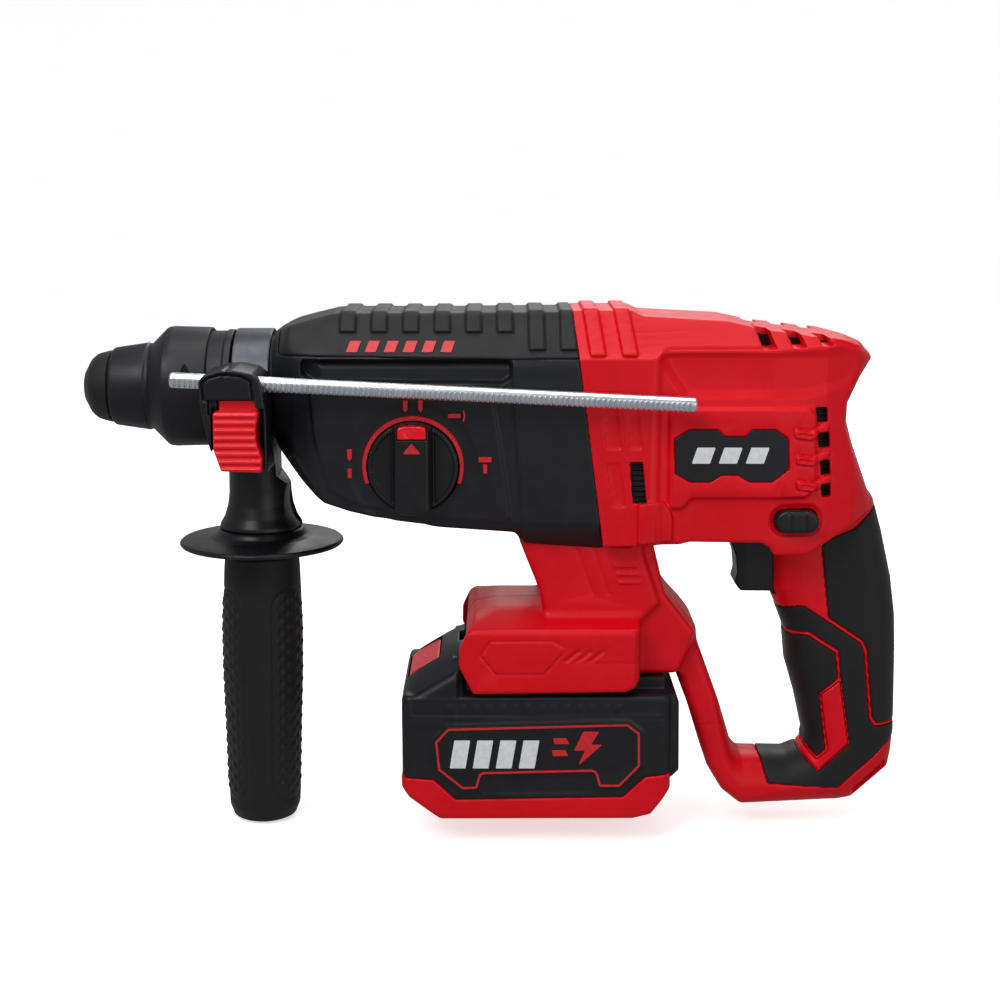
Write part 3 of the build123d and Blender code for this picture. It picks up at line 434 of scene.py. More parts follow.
def moulded(name, colour, dark, light, rough=(0.36, 0.46), grain=2600.0, depth=0.35, specular=0.5):
    """Moulded plastic: slow colour drift, fine spark-eroded grain and a painted highlight on convex edges.
    """
    material, tree, shader, where = nodes_of(name)
    drift = noise(tree, where, 22.0, 3.0)
    cloud = noise(tree, where, 140.0, 5.0, 0.6)
    tone = blend_colour(tree, span(tree, drift, 0.0, 1.0, 0.35, 0.65), dark, colour)
    tone = blend_colour(tree, span(tree, cloud, 0.0, 0.22, 0.45, 0.75), tone, light)
    # painted highlight: convex edges, found by pointiness, are blended towards the light tone, as where
    # edges catch the light
    geometry = tree.nodes.new("ShaderNodeNewGeometry")
    edge = span(tree, geometry.outputs["Pointiness"], 0.0, 0.5, 0.515, 0.60)
    tone = blend_colour(tree, edge, tone, light)
    tree.links.new(tone, shader.inputs["Base Color"])
    tree.links.new(span(tree, cloud, rough[0], rough[1], 0.3, 0.7), shader.inputs["Roughness"])
    fine = noise(tree, where, grain, 2.0)
    bumps(tree, shader, [(fine, depth, 0.00006), (cloud, 0.12, 0.0002)])
    shader.inputs["Specular IOR Level"].default_value = specular
    return material


def soft_rubber(name, colour, light):
    """Soft overmould: matt, with a dusty sheen and a leathery fine texture."""
    material, tree, shader, where = nodes_of(name)
    cloud = noise(tree, where, 90.0, 5.0, 0.6)
    tone = blend_colour(tree, span(tree, cloud, 0.0, 0.5, 0.4, 0.75), colour, light)
    tree.links.new(tone, shader.inputs["Base Color"])
    tree.links.new(span(tree, cloud, 0.50, 0.64, 0.3, 0.7), shader.inputs["Roughness"])
    cells = tree.nodes.new("ShaderNodeTexVoronoi")
    cells.inputs["Scale"].default_value = 1500.0
    tree.links.new(where.outputs["Object"], cells.inputs["Vector"])
    fine = noise(tree, where, 3200.0, 2.0)
    bumps(tree, shader, [(cells.outputs["Distance"], 0.22, 0.00008), (fine, 0.25, 0.00005)])
    shader.inputs["Specular IOR Level"].default_value = 0.3
    shader.inputs["Sheen Weight"].default_value = 0.06
    shader.inputs["Sheen Roughness"].default_value = 0.5
    return material


def metal(name, colour, dark, rough=(0.18, 0.34), stretch=(60.0, 1500.0, 1500.0), strength=0.25):
    """Drawn or turned metal: streaks along the part, stains and small pits."""
    material, tree, shader, where = nodes_of(name)
    streak = noise(tree, where, 1.0, 4.0, 0.6, stretch)
    stain = noise(tree, where, 120.0, 5.0, 0.65)
    tone = blend_colour(tree, span(tree, stain, 0.0, 1.0, 0.35, 0.7), dark, colour)
    tree.links.new(tone, shader.inputs["Base Color"])
    tree.links.new(span(tree, streak, rough[0], rough[1], 0.3, 0.7), shader.inputs["Roughness"])
    bumps(tree, shader, [(streak, strength, 0.00003), (stain, 0.1, 0.0001)])
    shader.inputs["Metallic"].default_value = 1.0
    return material


def printed(name, colour, shade):
    """Pad-printed ink or a moulded inlay with slight unevenness."""
    material, tree, shader, where = nodes_of(name)
    patch = noise(tree, where, 500.0, 4.0)
    tree.links.new(blend_colour(tree, span(tree, patch, 0.0, 1.0, 0.35, 0.7), shade, colour),
                   shader.inputs["Base Color"])
    tree.links.new(span(tree, patch, 0.34, 0.5), shader.inputs["Roughness"])
    bumps(tree, shader, [(noise(tree, where, 2600.0, 2.0), 0.2, 0.00005)])
    return material


RED = moulded("red_shell", (0.74, 0.0006, 0.010), (0.67, 0.0004, 0.008), (0.80, 0.012, 0.022),
              specular=0.22)
RED_GLOSS = moulded("red_button", (0.84, 0.0015, 0.012), (0.76, 0.001, 0.010), (0.90, 0.02, 0.03),
                    rough=(0.26, 0.36), grain=1800.0, depth=0.15, specular=0.4)
BLACK = moulded("black_shell", (0.0080, 0.0084, 0.0102), (0.0066, 0.0069, 0.0084), (0.019, 0.020, 0.023),
                rough=(0.38, 0.50), grain=2200.0, depth=0.4, specular=0.32)
BLACK_FINE = moulded("black_fine", (0.0062, 0.0064, 0.0078), (0.0052, 0.0053, 0.0064),
                     (0.015, 0.0155, 0.018),
                     rough=(0.31, 0.42), grain=2600.0, depth=0.25, specular=0.34)
RUBBER = soft_rubber("soft_black", (0.0068, 0.0070, 0.0078), (0.0125, 0.0128, 0.0138))
ZINC = metal("zinc_rod", (0.80, 0.84, 0.88), (0.66, 0.70, 0.75), rough=(0.22, 0.36))
STEEL = metal("bright_steel", (0.62, 0.62, 0.64), (0.45, 0.45, 0.47))
DARK_STEEL = metal("dark_band", (0.095, 0.098, 0.108), (0.07, 0.072, 0.08), rough=(0.34, 0.46),
                   stretch=(1500.0, 60.0, 60.0), strength=0.12)
INK_WHITE = printed("white_print", (0.80, 0.81, 0.83), (0.68, 0.69, 0.72))
INK_RED = printed("red_print", (0.72, 0.01, 0.018), (0.55, 0.008, 0.014))
INNER = moulded("inner_black", (0.006, 0.006, 0.007), (0.004, 0.004, 0.005), (0.010, 0.010, 0.011),
                specular=0.2)


# ---------------------------------------------------------------- red housing
MOTOR_SIDE = [
    (196, 34.6), (204, 34.2), (228, 34.2), (232.5, 32), (266.5, 30.1), (281, 26.9), (304, 24.2),
    (317.5, 22.9), (325.3, 19.7), (329.6, 13.7), (324.9, 6), (320.4, -4), (320.2, -13.5),
    (323.1, -23.4), (328.6, -38.2), (332, -48), (300, -66), (286.5, -66), (284.6, -62.6), (281, -60.7),
    (251.5, -60.3), (247.6, -61.4), (196, -62.2),
]
MOTOR_TOP = [
    (190, -36), (236.4, -36), (239.6, -33.2), (285, -33.2), (306, -31), (320, -25), (334, -10),
    (334, 10), (320, 25), (306, 31), (285, 33.2), (239.6, 33.2), (236.4, 36), (190, 36),
]
REAR_Z = [-48, -38.2, -23.4, -13.5, -4, 6, 13.7, 17.2, 19.7, 22.9, 24.2]
REAR_X = [332, 328.6, 323.1, 320.2, 320.4, 324.9, 329.6, 327.5, 325.3, 317.5, 304]
GRIP_RING = [
    (262, -45), (331, -44), (333.7, -53.8), (335.6, -60.3), (340.4, -80.5), (342.8, -97), (343.6, -112),
    (344.4, -148), (343.8, -158), (342.6, -165), (327, -179.4), (320, -180.6), (278, -180.2),
    (269.6, -173.4), (263.2, -162.7), (255.7, -138.8), (251, -126.6), (248.4, -119.6), (232, -118.6),
    (232, -95), (226, -85), (230, -45),
]
HAND_WINDOW = [
    (233.2, -50), (233.9, -67.3), (238.8, -81.6), (241.7, -87.4), (251.3, -95.2), (255.6, -101),
    (267.9, -134.6), (274.6, -156), (277.6, -159.6), (298, -160.0), (305.2, -157.0), (306.4, -151),
    (302.6, -134.6), (297.9, -119.2), (296.8, -108.9), (296.1, -102.8), (292.9, -94.7), (290.2, -88.4),
    (288.8, -86), (287.6, -50),
]
COLUMN = [
    (180.6, -56), (182.2, -61.7), (184.6, -68), (190.4, -82.5), (193, -97), (232, -97), (241, -88),
    (238.8, -81.6), (233.9, -67.3), (233.2, -56),
]
DOCK_SIDE = [
    (173, -90.4), (163.2, -93.2), (159.6, -99), (157.2, -104.5), (157, -111.8), (162.8, -123.6),
    (226, -122.7), (230.6, -120.4), (232, -117), (232, -90.4),
]
REAR_PAD = [
    (352, -44), (331.5, -49.6), (322.1, -58.1), (310.2, -63.2), (309, -65.8), (313, -96.5),
    (327.8, -106.6), (329.7, -110.5), (333, -140.2), (334.8, -142.9), (352, -142.9),
]
BAND_PAD = [
    (284, -94), (292.3, -93.9), (299.8, -91.7), (302.1, -91.3), (312.4, -98), (326.8, -107.6),
    (328.5, -111.2), (331.8, -140.8), (334.2, -144.4), (352, -144.4), (352, -146), (339.4, -153.2),
    (319.2, -172.4), (289.4, -170.3), (284.6, -153.2), (284.6, -150), (300.4, -150), (301.7, -156),
    (310.9, -165), (323.8, -152.4), (319.2, -123.8), (317.6, -110.8), (305, -102.9), (297.2, -103.7),
    (284, -103.9),
]
FRONT_PAD = [
    (284, -105.3), (297.3, -105.1), (304.4, -104.3), (316.3, -111.8), (317.9, -123.2), (310.2, -129.9),
    (313.8, -155.2), (310.4, -158.8), (302.4, -151), (298, -128), (284, -120),
]
PANEL = [
    (311.0, -130.4), (318.9, -124.2), (323.3, -152.2), (310.9, -164.4), (302.4, -156.2),
    (302.4, -152.4), (310.4, -160), (314.9, -155.6),
]
BADGE = [
    (244.2, -17.2), (250.5, -13.1), (262, -13.1), (264.9, -16.1), (273, -16.1), (275.9, -13.1),
    (285.2, -13.1), (290.6, -17), (291.3, -29.6), (284.6, -35), (275.4, -35), (270.4, -32.1),
    (263.9, -32.1), (259.5, -35), (251, -35), (245, -31.5),
]
SCREWS = [(222, 24), (300, 14), (318, -44), (215, -92), (236, -98), (334, -168), (222, -52)]


def seam_side(block):
    """Distance in front of the leaning joint plane: negative behind it."""
    return (SEAM_X + (40 - block.z) * SEAM_LEAN - block.x) / math.hypot(1, SEAM_LEAN)


def handle_field(block):
    """The D-handle and arm as one ring with softly rounded edges."""
    flat = np.abs(block.y) - HANDLE_HALF
    outer = rmax(block.shape(GRIP_RING, 4.0), flat, np.clip(4.0 + (block.x - 276) * 0.19, 4.0, 12.0))
    inner = rmax(-block.shape(HAND_WINDOW, 3.5), flat, np.clip(4.0 + (block.x - 266) * 0.75, 4.0, 13.5))
    return np.maximum(outer, inner)


def motor_field(block):
    """Motor housing with shoulder block, scooped sides, badge panel, ribs and step lines."""
    side = block.shape(MOTOR_SIDE, 2.5)
    top = block.plan(outline(MOTOR_TOP, 3.0))
    slope = [(36, -70), (36, 15.2), (33.2, 18.0), (19.5, 34.4), (-19.5, 34.4), (-33.2, 18.0), (-36, 15.2),
             (-36, -70)]
    field = rmax(side, block.section(outline(slope, 0.8)), 1.2)
    field = rmax(field, top, 1.5)
    rear = block.by_height(REAR_Z, REAR_X)
    field = rmax(field, (block.x + 0.21 * np.abs(block.y) - rear - 0.4) * 0.88, 2.0)
    scoop = block.shape([(238.6, 17.6), (243.5, 8), (249, 0.5), (296, 0.5), (316, 5), (322, 17.6)], 2.5)
    field = press(field, scoop, 2.6 * np.clip((322 - block.x) / 50, 0, 1), 4.0)
    panel = block.shape([(242.5, -5.0), (299.5, -5.0), (302, -8.5), (302.6, -38), (298.6, -41.6),
                         (252, -41.6), (248, -46), (242.5, -46)], 2.0)
    field = press(field, panel, -2.1, 1.4)
    flank = block.shape([(230, -43.2), (241, -43.2), (243.6, -47), (244.4, -50), (244.4, -59.4),
                         (230, -60.6)], 0.6)
    field = press(field, flank, -2.6, 1.0)
    ledge = block.shape([(190, 15.6), (235.9, 15.4), (239.5, 18.2), (281.8, 18.4), (311.7, 20.6), (330, 15),
                         (345, 60), (190, 60)], 1.0)
    field = press(field, ledge, 0.7, 0.8)
    for middle, lean in ((210.3, 0.150), (222.8, 0.170)):
        rib = np.abs(block.x - middle - (37.2 - block.z) * lean) - 3.1
        rib = np.maximum(rib, 16.6 - block.z)
        field = press(field, rib, -1.5, 0.6)
    return field


def vent_shapes(block):
    """Air slots: inlet near the joint, four stepped outlets, and three slots on each top slope."""
    inlet = outline([(226.5, -26.4), (231.8, -26.4), (233.7, -43.7), (228, -43.7)], 0.6)
    low = block.side(inlet)
    for x, top, wide, base in ((301.8, -4.7, 4.8, -11.0), (302.8, -14.9, 5.0, -21.4),
                               (304.2, -26.4, 4.3, -32.8),
                               (304.9, -36.1, 4.0, -41.9)):
        slot = outline([(x, top), (x + wide, top), (x + wide + 0.7, base), (x + 0.7, base)], 0.4)
        low = np.minimum(low, block.side(slot))
    high = None
    for x, wide, top, base in ((277.0, 5.2, 27.9, 18.6), (289.2, 5.2, 26.4, 19.2),
                               (301.3, 4.2, 25.0, 19.9)):
        slot = outline([(x, top), (x + wide, top), (x + wide + 3.6, base), (x + 2.9, base)], 0.5)
        shape = np.maximum(block.side(slot), 12 - np.abs(block.y))
        high = shape if high is None else np.minimum(high, shape)
    return low, high


def vent_cuts(block):
    low, high = vent_shapes(block)
    return np.minimum(np.maximum(low, 24 - np.abs(block.y)), high)


def vent_screens():
    """Dark baffles with fine louvre bars behind the side air slots, and flat dark plates in the top slots
    as painted shade.
    """
    for sign, side in SIDES:
        span_y = (-37, -11) if sign < 0 else (11, 37)
        for part, low_x, high_x in (("inlet", 224, 236), ("outlet", 299, 312)):
            block = Block((low_x, span_y[0], -45), (high_x, span_y[1], -3), 0.4)
            shape = vent_shapes(block)[0]
            skin = motor_field(block)
            louvre = 0.4 * np.cos(block.z * 2 * math.pi / 2.2)
            field = np.maximum(np.maximum(shape - 1.2, skin + 3.0 + louvre), -skin - 8.0)
            field_piece(f"vent_{part}_{side}", block, field, "housing", "black_plastic", INNER)
        # painted shade: a flat dark plate at the floor of each top slot stands in for the shade inside the
        # slot
        low_y, high_y = sorted((sign * 11.5, sign * 15.5))
        block = Block((274, low_y, 17), (313, high_y, 29), 0.4)
        field = np.maximum(vent_shapes(block)[1] - 0.6, np.abs(np.abs(block.y) - 13.2) - 1.4)
        field = np.maximum(field, motor_field(block) + 2.6)
        field_piece(f"vent_roof_shade_plate_{side}", block, field, "housing", "black_plastic", INNER)


def lever_oval(block, half, r):
    """Long round-ended outline of the reversing lever."""
    return np.hypot(np.maximum(np.abs(block.x - LEVER[0]) - half, 0), block.z - LEVER[1]) - r


def red_details(block, field):
    """Pressed panels, hooked ribs, slashes, seam lines and the badge pocket."""
    lean = 0.137
    for x0, x1, z0, z1 in ((214.2, 220.6, -1.0, -21.4), (223.8, 229.0, -1.0, -21.4),
                           (217.0, 222.6, -26.8, -45.4)):
        corners = [(x0, z0), (x1, z0), (x1 + (z0 - z1) * lean, z1), (x0 + (z0 - z1) * lean, z1)]
        shape = block.shape(corners, 1.0)
        field = press(field, shape, 0.8, 0.4)
        field = press(field, np.abs(shape) - 0.25, -0.3, 0.4)
    for number in range(3):
        x, z = 293.1 + 0.9 * number, -13.5 - 10.6 * number
        hook = outline([(x, z), (x, z - 3.3), (x + 6.8, z - 4.3), (x + 14.0, z - 1.1), (x + 14.4, z + 1.7),
                        (x + 11.8, z + 1.5), (x + 6.5, z - 1.1)], 0.4)
        shape = block.side(hook)
        field = press(field, np.abs(shape - 0.5) - 0.3, 0.5, 0.5)
        field = press(field, shape, -1.2, 0.5)
        dent = outline([(x + 1.4, z - 1.2), (x + 1.4, z - 2.4), (x + 6.6, z - 3.2), (x + 6.6, z - 2.0)])
        field = press(field, block.side(dent), 0.7, 0.4)
    field = press(field, block.shape(BADGE, 0.8), 1.2, 0.4)
    lever = lever_oval(block, 4.4, 4.9)
    field = press(field, lever - 1.6, 0.9, 1.4)
    return np.maximum(field, -np.maximum(lever, 20 - np.abs(block.y)))


def column_field(block):
    """Column and dock, with their steps, slanted lines and raised panels."""
    column = rmax(block.shape(COLUMN, 2.0), np.abs(block.y) - COLUMN_HALF, 3.0)
    wedge = outline([(199, -56), (236, -56), (243, -84), (256, -101), (249, -119), (232, -119), (214, -92)],
                    3.0)
    column = rmin(column, rmax(block.side(wedge), np.abs(block.y) - 24, 2.5), 1.5)
    roof = [(39, -140), (39, -98), (37.4, -96), (17, -90.4), (-17, -90.4), (-37.4, -96), (-39, -98),
            (-39, -140)]
    dock = rmax(block.shape(DOCK_SIDE, 1.6), block.section(outline(roof, 1.0)), 1.6)
    nose = outline([(152, -34), (157, -38.4), (160, -39.2), (229, -39.2), (233, -35), (233, 35),
                    (229, 39.2),
                    (160, 39.2), (157, 38.4), (152, 34)], 2.5)
    dock = rmax(dock, block.plan(nose), 0.8)
    slanted = np.abs(block.x - 206.5 + (block.z + 66) * 0.36) - 0.5
    slanted = np.minimum(slanted, np.abs(block.x - 213.5 + (block.z + 66) * 0.33) - 0.5)
    slanted = np.maximum(slanted, np.abs(block.z + 74) - 10)
    column = press(column, slanted, 0.7, 0.6)
    for z in (-71.5, -75.0, -78.5):
        rib = np.maximum(np.abs(block.x - 227 - (-block.z - 75) * 0.25) - 4.6, np.abs(block.z - z) - 0.8)
        column = press(column, rib, -0.7, 0.7)
    panel = outline([(166, -107), (170.4, -100.8), (196, -100.8), (201.5, -104), (197.5, -108.5),
                     (192, -114.8),
                     (172.4, -114.8)], 0.6)
    shape = block.side(panel)
    dock = press(dock, line(shape, 0.8), 0.8, 0.4)
    dock = press(dock, shape, -0.3, 0.5)
    for number in range(3):
        x = 199.5 + 5.0 * number
        slash = outline([(x, -109.6), (x + 2.6, -109.6), (x + 8.6, -104.6), (x + 6.0, -104.6)], 0.3)
        dock = press(dock, block.side(slash), 0.9, 0.5)
    edge = np.maximum(np.abs(block.z + 110.2) - 0.4, np.abs(block.x - 217) - 14)
    dock = press(dock, edge, 0.35, 0.5)
    return rmin(column, dock, 3.0)


def red_half(sign):
    """One half of the red housing; sign is -1 for the dial side and 1 for the far side."""
    low, high = ((155, -40, -182), (347, 0, 38)) if sign < 0 else ((155, 0, -182), (347, 40, 38))
    block = Block(low, high, 0.56)
    motor = np.maximum(motor_field(block), seam_side(block))
    handle = handle_field(block)
    column = column_field(block)
    column = cut(column, gear_base(block) - 0.15)
    field = rmin(column, handle, 5.0)
    field = rmin(field, motor, 2.0)
    field = red_details(block, field)
    field = cut(field, vent_cuts(block))
    for zone in (REAR_PAD, BAND_PAD, FRONT_PAD, PANEL):
        shape = np.maximum(block.shape(zone, 0.5), handle - 1.0)
        field = press(field, shape, PAD, 0.25)
    crease = np.abs(block.x - 259.3 - (block.z + 143.5) * 0.1) - 6.0
    crease = np.maximum(crease, np.abs(block.z + 143.8 - (block.x - 260) * 0.06) - 0.25)
    field = press(field, crease, 0.5, 0.4)
    slot = block.shape([(325.8, -173.6), (339.6, -160.2), (340.6, -162.8), (327.6, -175.8)], 0.5)
    field = press(field, slot, 1.4, 0.7)
    cavity = np.minimum(block.box(140, 228.6, -35.8, 35.8, -140, -99),
                        block.box(200, 250, -35.8, 35.8, -140, -119.2))
    field = cut(field, cavity)
    field = cut(field, block.box(280, 304, -9.4, 9.4, -88.2, -64.0))
    if sign > 0:
        for x, z in SCREWS:
            field = cut(field, np.maximum(block.along_y(x, z, 3.7), 13.0 - block.y))
    field = rmax(field, sign * -block.y, 0.35)
    name = "housing_left" if sign < 0 else "housing_right"
    return field_piece(name + "_shell", block, field, "housing", "red_plastic", RED, [name], ratio=0.25)


def overmould():
    """Soft black skins of the D-handle and the red panels between them."""
    block = Block((282, -18.5, -176), (347, 18.5, -42), 0.5)
    handle = handle_field(block)
    motor = motor_field(block)
    outer = rmin(handle, motor, 2.0)
    for name, zones, slot, material, node, lift in (
            ("grip_skin", (REAR_PAD, BAND_PAD, FRONT_PAD), "soft_black", RUBBER, "grip_overmould", 0.15),
            ("grip_panel_skin", (PANEL,), "red_plastic", RED, "grip_panels", -0.1)):
        total = None
        for zone in zones:
            shape = block.shape(zone, 0.5) + 0.2
            layer = rmax(rmax(outer - lift, shape, 0.5), -(outer + PAD), 0.1)
            total = layer if total is None else np.minimum(total, layer)
        field_piece(name, block, total, "housing", slot, material, [node], ratio=0.5)


# ---------------------------------------------------------------- gear housing
GEAR_SIDE = [
    (79.9, 23.4), (84.5, 26.1), (88, 27.4), (96, 29.6), (105.4, 32), (110, 32.4), (153, 32.4),
    (203, 33.2), (230, 33.2), (230, -65), (216, -63.9), (183.3, -60.9), (181.8, -59.4), (180.2, -56.6),
    (150.8, -54.2), (131.8, -51.8), (112.8, -47.4), (98.5, -42.6), (89.1, -36.8), (84, -31.5),
    (79.9, -25),
]


def gear_base(block):
    """Outer form of the gear housing before its details."""
    field = rmax(block.shape(GEAR_SIDE, 3.0), block.section(outline([
        (22, -70), (35.2, -52), (35.2, 12), (33.4, 15.6), (18.5, 33.4), (-18.5, 33.4), (-33.4, 15.6),
        (-35.2, 12),
        (-35.2, -52), (-22, -70)], 1.5)), 1.5)
    top = outline([(79.9, -24), (84, -26.5), (90, -30.5), (101, -35.2), (240, -35.2), (240, 35.2),
                   (101, 35.2),
                   (90, 30.5), (84, 26.5), (79.9, 24)], 6.0)
    field = rmax(field, block.plan(top), 2.5)
    radius = np.hypot(block.y, block.z)
    cone = radius - 24.4 - np.maximum(block.x - 80, 0) * 1.42
    return rmax(field, np.maximum(cone, NOSE_X - block.x) * 0.8, 1.5)


def top_zone(block):
    """Region above the shoulder line that the ribbed cover fills."""
    return block.shape([(70, 15.9), (95, 16.2), (178.4, 14.9), (230, 15.2), (230, 70), (70, 70)])


def gear_housing():
    block = Block((79, -36.5, -66), (219, 36.5, 35), 0.52)
    base = gear_base(block)
    field = base
    groove = outline([(94, 14.6), (94, 8.6), (98, 6.2), (175, 5.4), (178.4, 8.0), (178.6, 14.6)], 2.0)
    field = press(field, np.where(block.z < 15.2, block.side(groove), FAR), 4.6, 1.0)
    plateau = outline([(97, 3.2), (98.6, -16), (104.5, -38), (113.5, -43.6), (131, -47.6), (151, -50.2),
                       (176, -51.6),
                       (178.2, -50), (176.6, -36), (171.6, -4), (170.4, 3.2)], 1.5)
    field = press(field, block.side(plateau), -1.0, 0.9)
    rear = outline([(178.8, 15.2), (179.5, -6), (184, -64), (240, -70), (240, 15.2)], 0.8)
    field = press(field, np.where(block.z < 15.6, block.side(rear), FAR), -0.9, 0.9)
    disc = block.along_y(DIAL[0], DIAL[1], 25.5)
    field = press(field, np.maximum(disc, block.y), 0.55, 2.2)
    seat = block.along_y(DIAL[0], DIAL[1], 18.8)
    field = cut(field, np.maximum(seat, block.y + 33.4))
    field = press(field, np.maximum(top_zone(block), -(block.x - 84)), PAD, 0.4)
    field = np.minimum(field, np.maximum(block.along_x(0, 0, 21.5), np.abs(block.x - 73.5) - 9.7))
    field = rmax(field, -seam_side(block) + 0.06, 0.4)
    bore = np.maximum(block.along_x(0, 0, 19), np.abs(block.x - 70) - 25)
    field = cut(field, bore)
    field_piece("gear_housing_shell", block, field, "housing", "black_plastic", BLACK, ["gear_housing"],
                ratio=0.45)
    collar = [(63.8, 16.2), (63.8, 21.0), (64.3, 21.5), (82, 21.5), (82, 16.2)]
    finish_piece(lathe("gear_housing_collar", collar), "housing", "black_plastic", BLACK_FINE)


def top_cover():
    block = Block((83, -36.5, 12), (207, 36.5, 38), 0.46)
    base = gear_base(block)
    ribs = None
    for number in range(8):
        x = 109.0 + 12.75 * number
        low = 25.2 if number < 6 else 18.6
        rib = np.abs(block.x - x - 3.2 + (block.z - 33) * 0.02) - 3.2
        rib = np.maximum(rib, low - block.z)
        ribs = rib if ribs is None else np.minimum(ribs, rib)
    outer = press(base, ribs, -1.35, 0.9)
    field = rmax(rmax(outer, top_zone(block), 0.8), -(base + PAD + 0.6), 0.1)
    field = rmax(field, 84.2 - block.x, 0.8)
    field = rmax(field, -seam_side(block) + 0.1, 0.4)
    field_piece("top_cover", block, field, "housing", "soft_black", RUBBER, ["top_pad"], ratio=0.5)


# ---------------------------------------------------------------- battery
PACK_SIDE = [
    (134, -124.2), (133, -127), (133, -165), (136, -168.6), (149, -178.4), (229.7, -178.2),
    (237, -176.2), (245.3, -165.4), (245.5, -126.4), (243.6, -124.2),
]
BASE_EDGE = [(120, -159.3), (146.4, -161.2), (155.6, -169.8), (225.5, -168.6), (234.6, -159.9), (260, -157)]
LABEL = [
    (146.5, -144), (152, -137.8), (227.2, -135.8), (232.6, -140), (232.9, -154.8), (224.2, -164.1),
    (215, -164.1), (213.3, -157.5), (166.5, -158.6), (164.8, -165), (158.1, -165.2), (147.7, -156.6),
]


def pack_field(block):
    section = outline([(34.5, -190), (37.4, -176), (37.5, -126.2), (35.3, -124.2), (-35.3, -124.2),
                       (-37.5, -126.2),
                       (-37.4, -176), (-34.5, -190)], 0.5)
    field = rmax(block.shape(PACK_SIDE, 2.0), block.section(section), 2.0)
    top = outline([(131, -33), (136, -37.6), (242, -37.6), (246, -34), (246, 34), (242, 37.6), (136, 37.6),
                   (131, 33)], 2.0)
    return rmax(field, block.plan(top), 1.5)


def pack_top(block, pack):
    """Case with its sloped hump, the rails for the dock and the latch well."""
    front = outline([(133.5, -140), (133.5, -124.8), (134.6, -122.0), (138, -118.4), (144, -114.2),
                     (150, -110.8),
                     (156.2, -108.6), (159.4, -108.2), (159.4, -140)], 1.2)
    hump = rmax(block.side(front), np.abs(block.y) - 37.2 + np.clip(block.x - 155.6, 0, 1.8), 3.5)
    rise = math.tan(math.radians(HUMP_RISE))
    bevel = block.z + 123.4 - (block.x - 133.6) * rise + (np.abs(block.y) - 22) * 0.34
    hump = rmax(hump, bevel / math.hypot(1, rise, 0.34), 3.0)
    upper = rmin(pack, hump, 0.8)
    rails = np.minimum(block.box(160.5, 217.5, -24, 24, -112, -102),
                       block.box(160.5, 217.5, -31.2, 31.2, -116.6, -110.4))
    rails = np.minimum(rails, block.box(154, 217.5, -26.4, 26.4, -130, -111.2))
    rails = np.minimum(rails, block.box(154, 243.2, -26.4, 26.4, -130, -119.6))
    upper = np.minimum(upper, rails)
    for y in (-14.0, -5.0, 5.0, 14.0):
        upper = cut(upper, block.box(199, 219, y - 0.9, y + 0.9, -109.5, -100))
    well = rmax(np.abs(block.y) - 16.4, np.abs(block.x - 141.8) - 7.0, 0.8)
    upper = cut(upper, np.maximum(well, -129 - block.z))
    upper = cut(upper, block.box(146, 157.4, -7.6, 7.6, -121.4, -115.0))
    upper = cut(upper, block.box(156.4, 172.5, -7.6, 7.6, -121.4, -90))
    return upper


def pack_marks(block, upper):
    """Ledges, fine ticks, label frame and foot of the case's sides."""
    ledges = np.abs(block.z + 133.4 + (block.x - 190) * 0.015) - 0.35
    ledges = np.maximum(ledges, np.maximum(-block.x + 138, block.x - 243))
    strip = block.shape([(137, -126.8), (242, -126.0), (242, -132.9), (137, -133.0)], 0.8)
    upper = press(upper, strip, 0.45, 0.5)
    upper = press(upper, ledges, 0.35, 0.4)
    for number in range(14):
        x = 151.0 + 5.4 * number
        tick = outline([(x, -131.4), (x + 2.8, -131.4), (x + 3.6, -128.4), (x + 0.8, -128.4)], 0.3)
        upper = press(upper, np.maximum(block.side(tick), 34 - np.abs(block.y)), -0.45, 0.4)
    label = block.shape(LABEL, 1.2)
    upper = press(upper, np.maximum(label - 1.0, 36 - np.abs(block.y)), -0.7, 0.8)
    foot = block.shape([(168.5, -160.6), (211.6, -159.8), (213.6, -166.6), (166.4, -167.2)], 0.8)
    upper = press(upper, np.maximum(foot, 30 - np.abs(block.y)), 0.5, 0.5)
    return upper


def battery():
    block = Block((131, -39, -180), (251, 39, -97), 0.56)
    pack = pack_field(block)
    upper = pack_marks(block, pack_top(block, pack))
    bumper = outline([(240, -124.4), (247.6, -125.4), (248.9, -129), (249.3, -158.6), (246, -161.8),
                      (240, -161.8)], 1.2)
    bumper = rmax(block.side(bumper), np.abs(block.y) - 33.5, 2.5)
    base_zone = block.shape(BASE_EDGE + [(260, -200), (120, -200)], 0.6)
    top = rmax(upper, -base_zone + 0.12, 0.4)
    top = rmin(top, bumper, 0.4)
    field_piece("battery_top", block, top, "battery", "black_plastic", BLACK, ["battery_case_top"],
                ratio=0.45)
    base = rmax(pack - 0.45, base_zone + 0.12, 0.6)
    field_piece("battery_base", block, base, "battery", "red_plastic", RED, ["battery_case_base"],
                ratio=0.4)


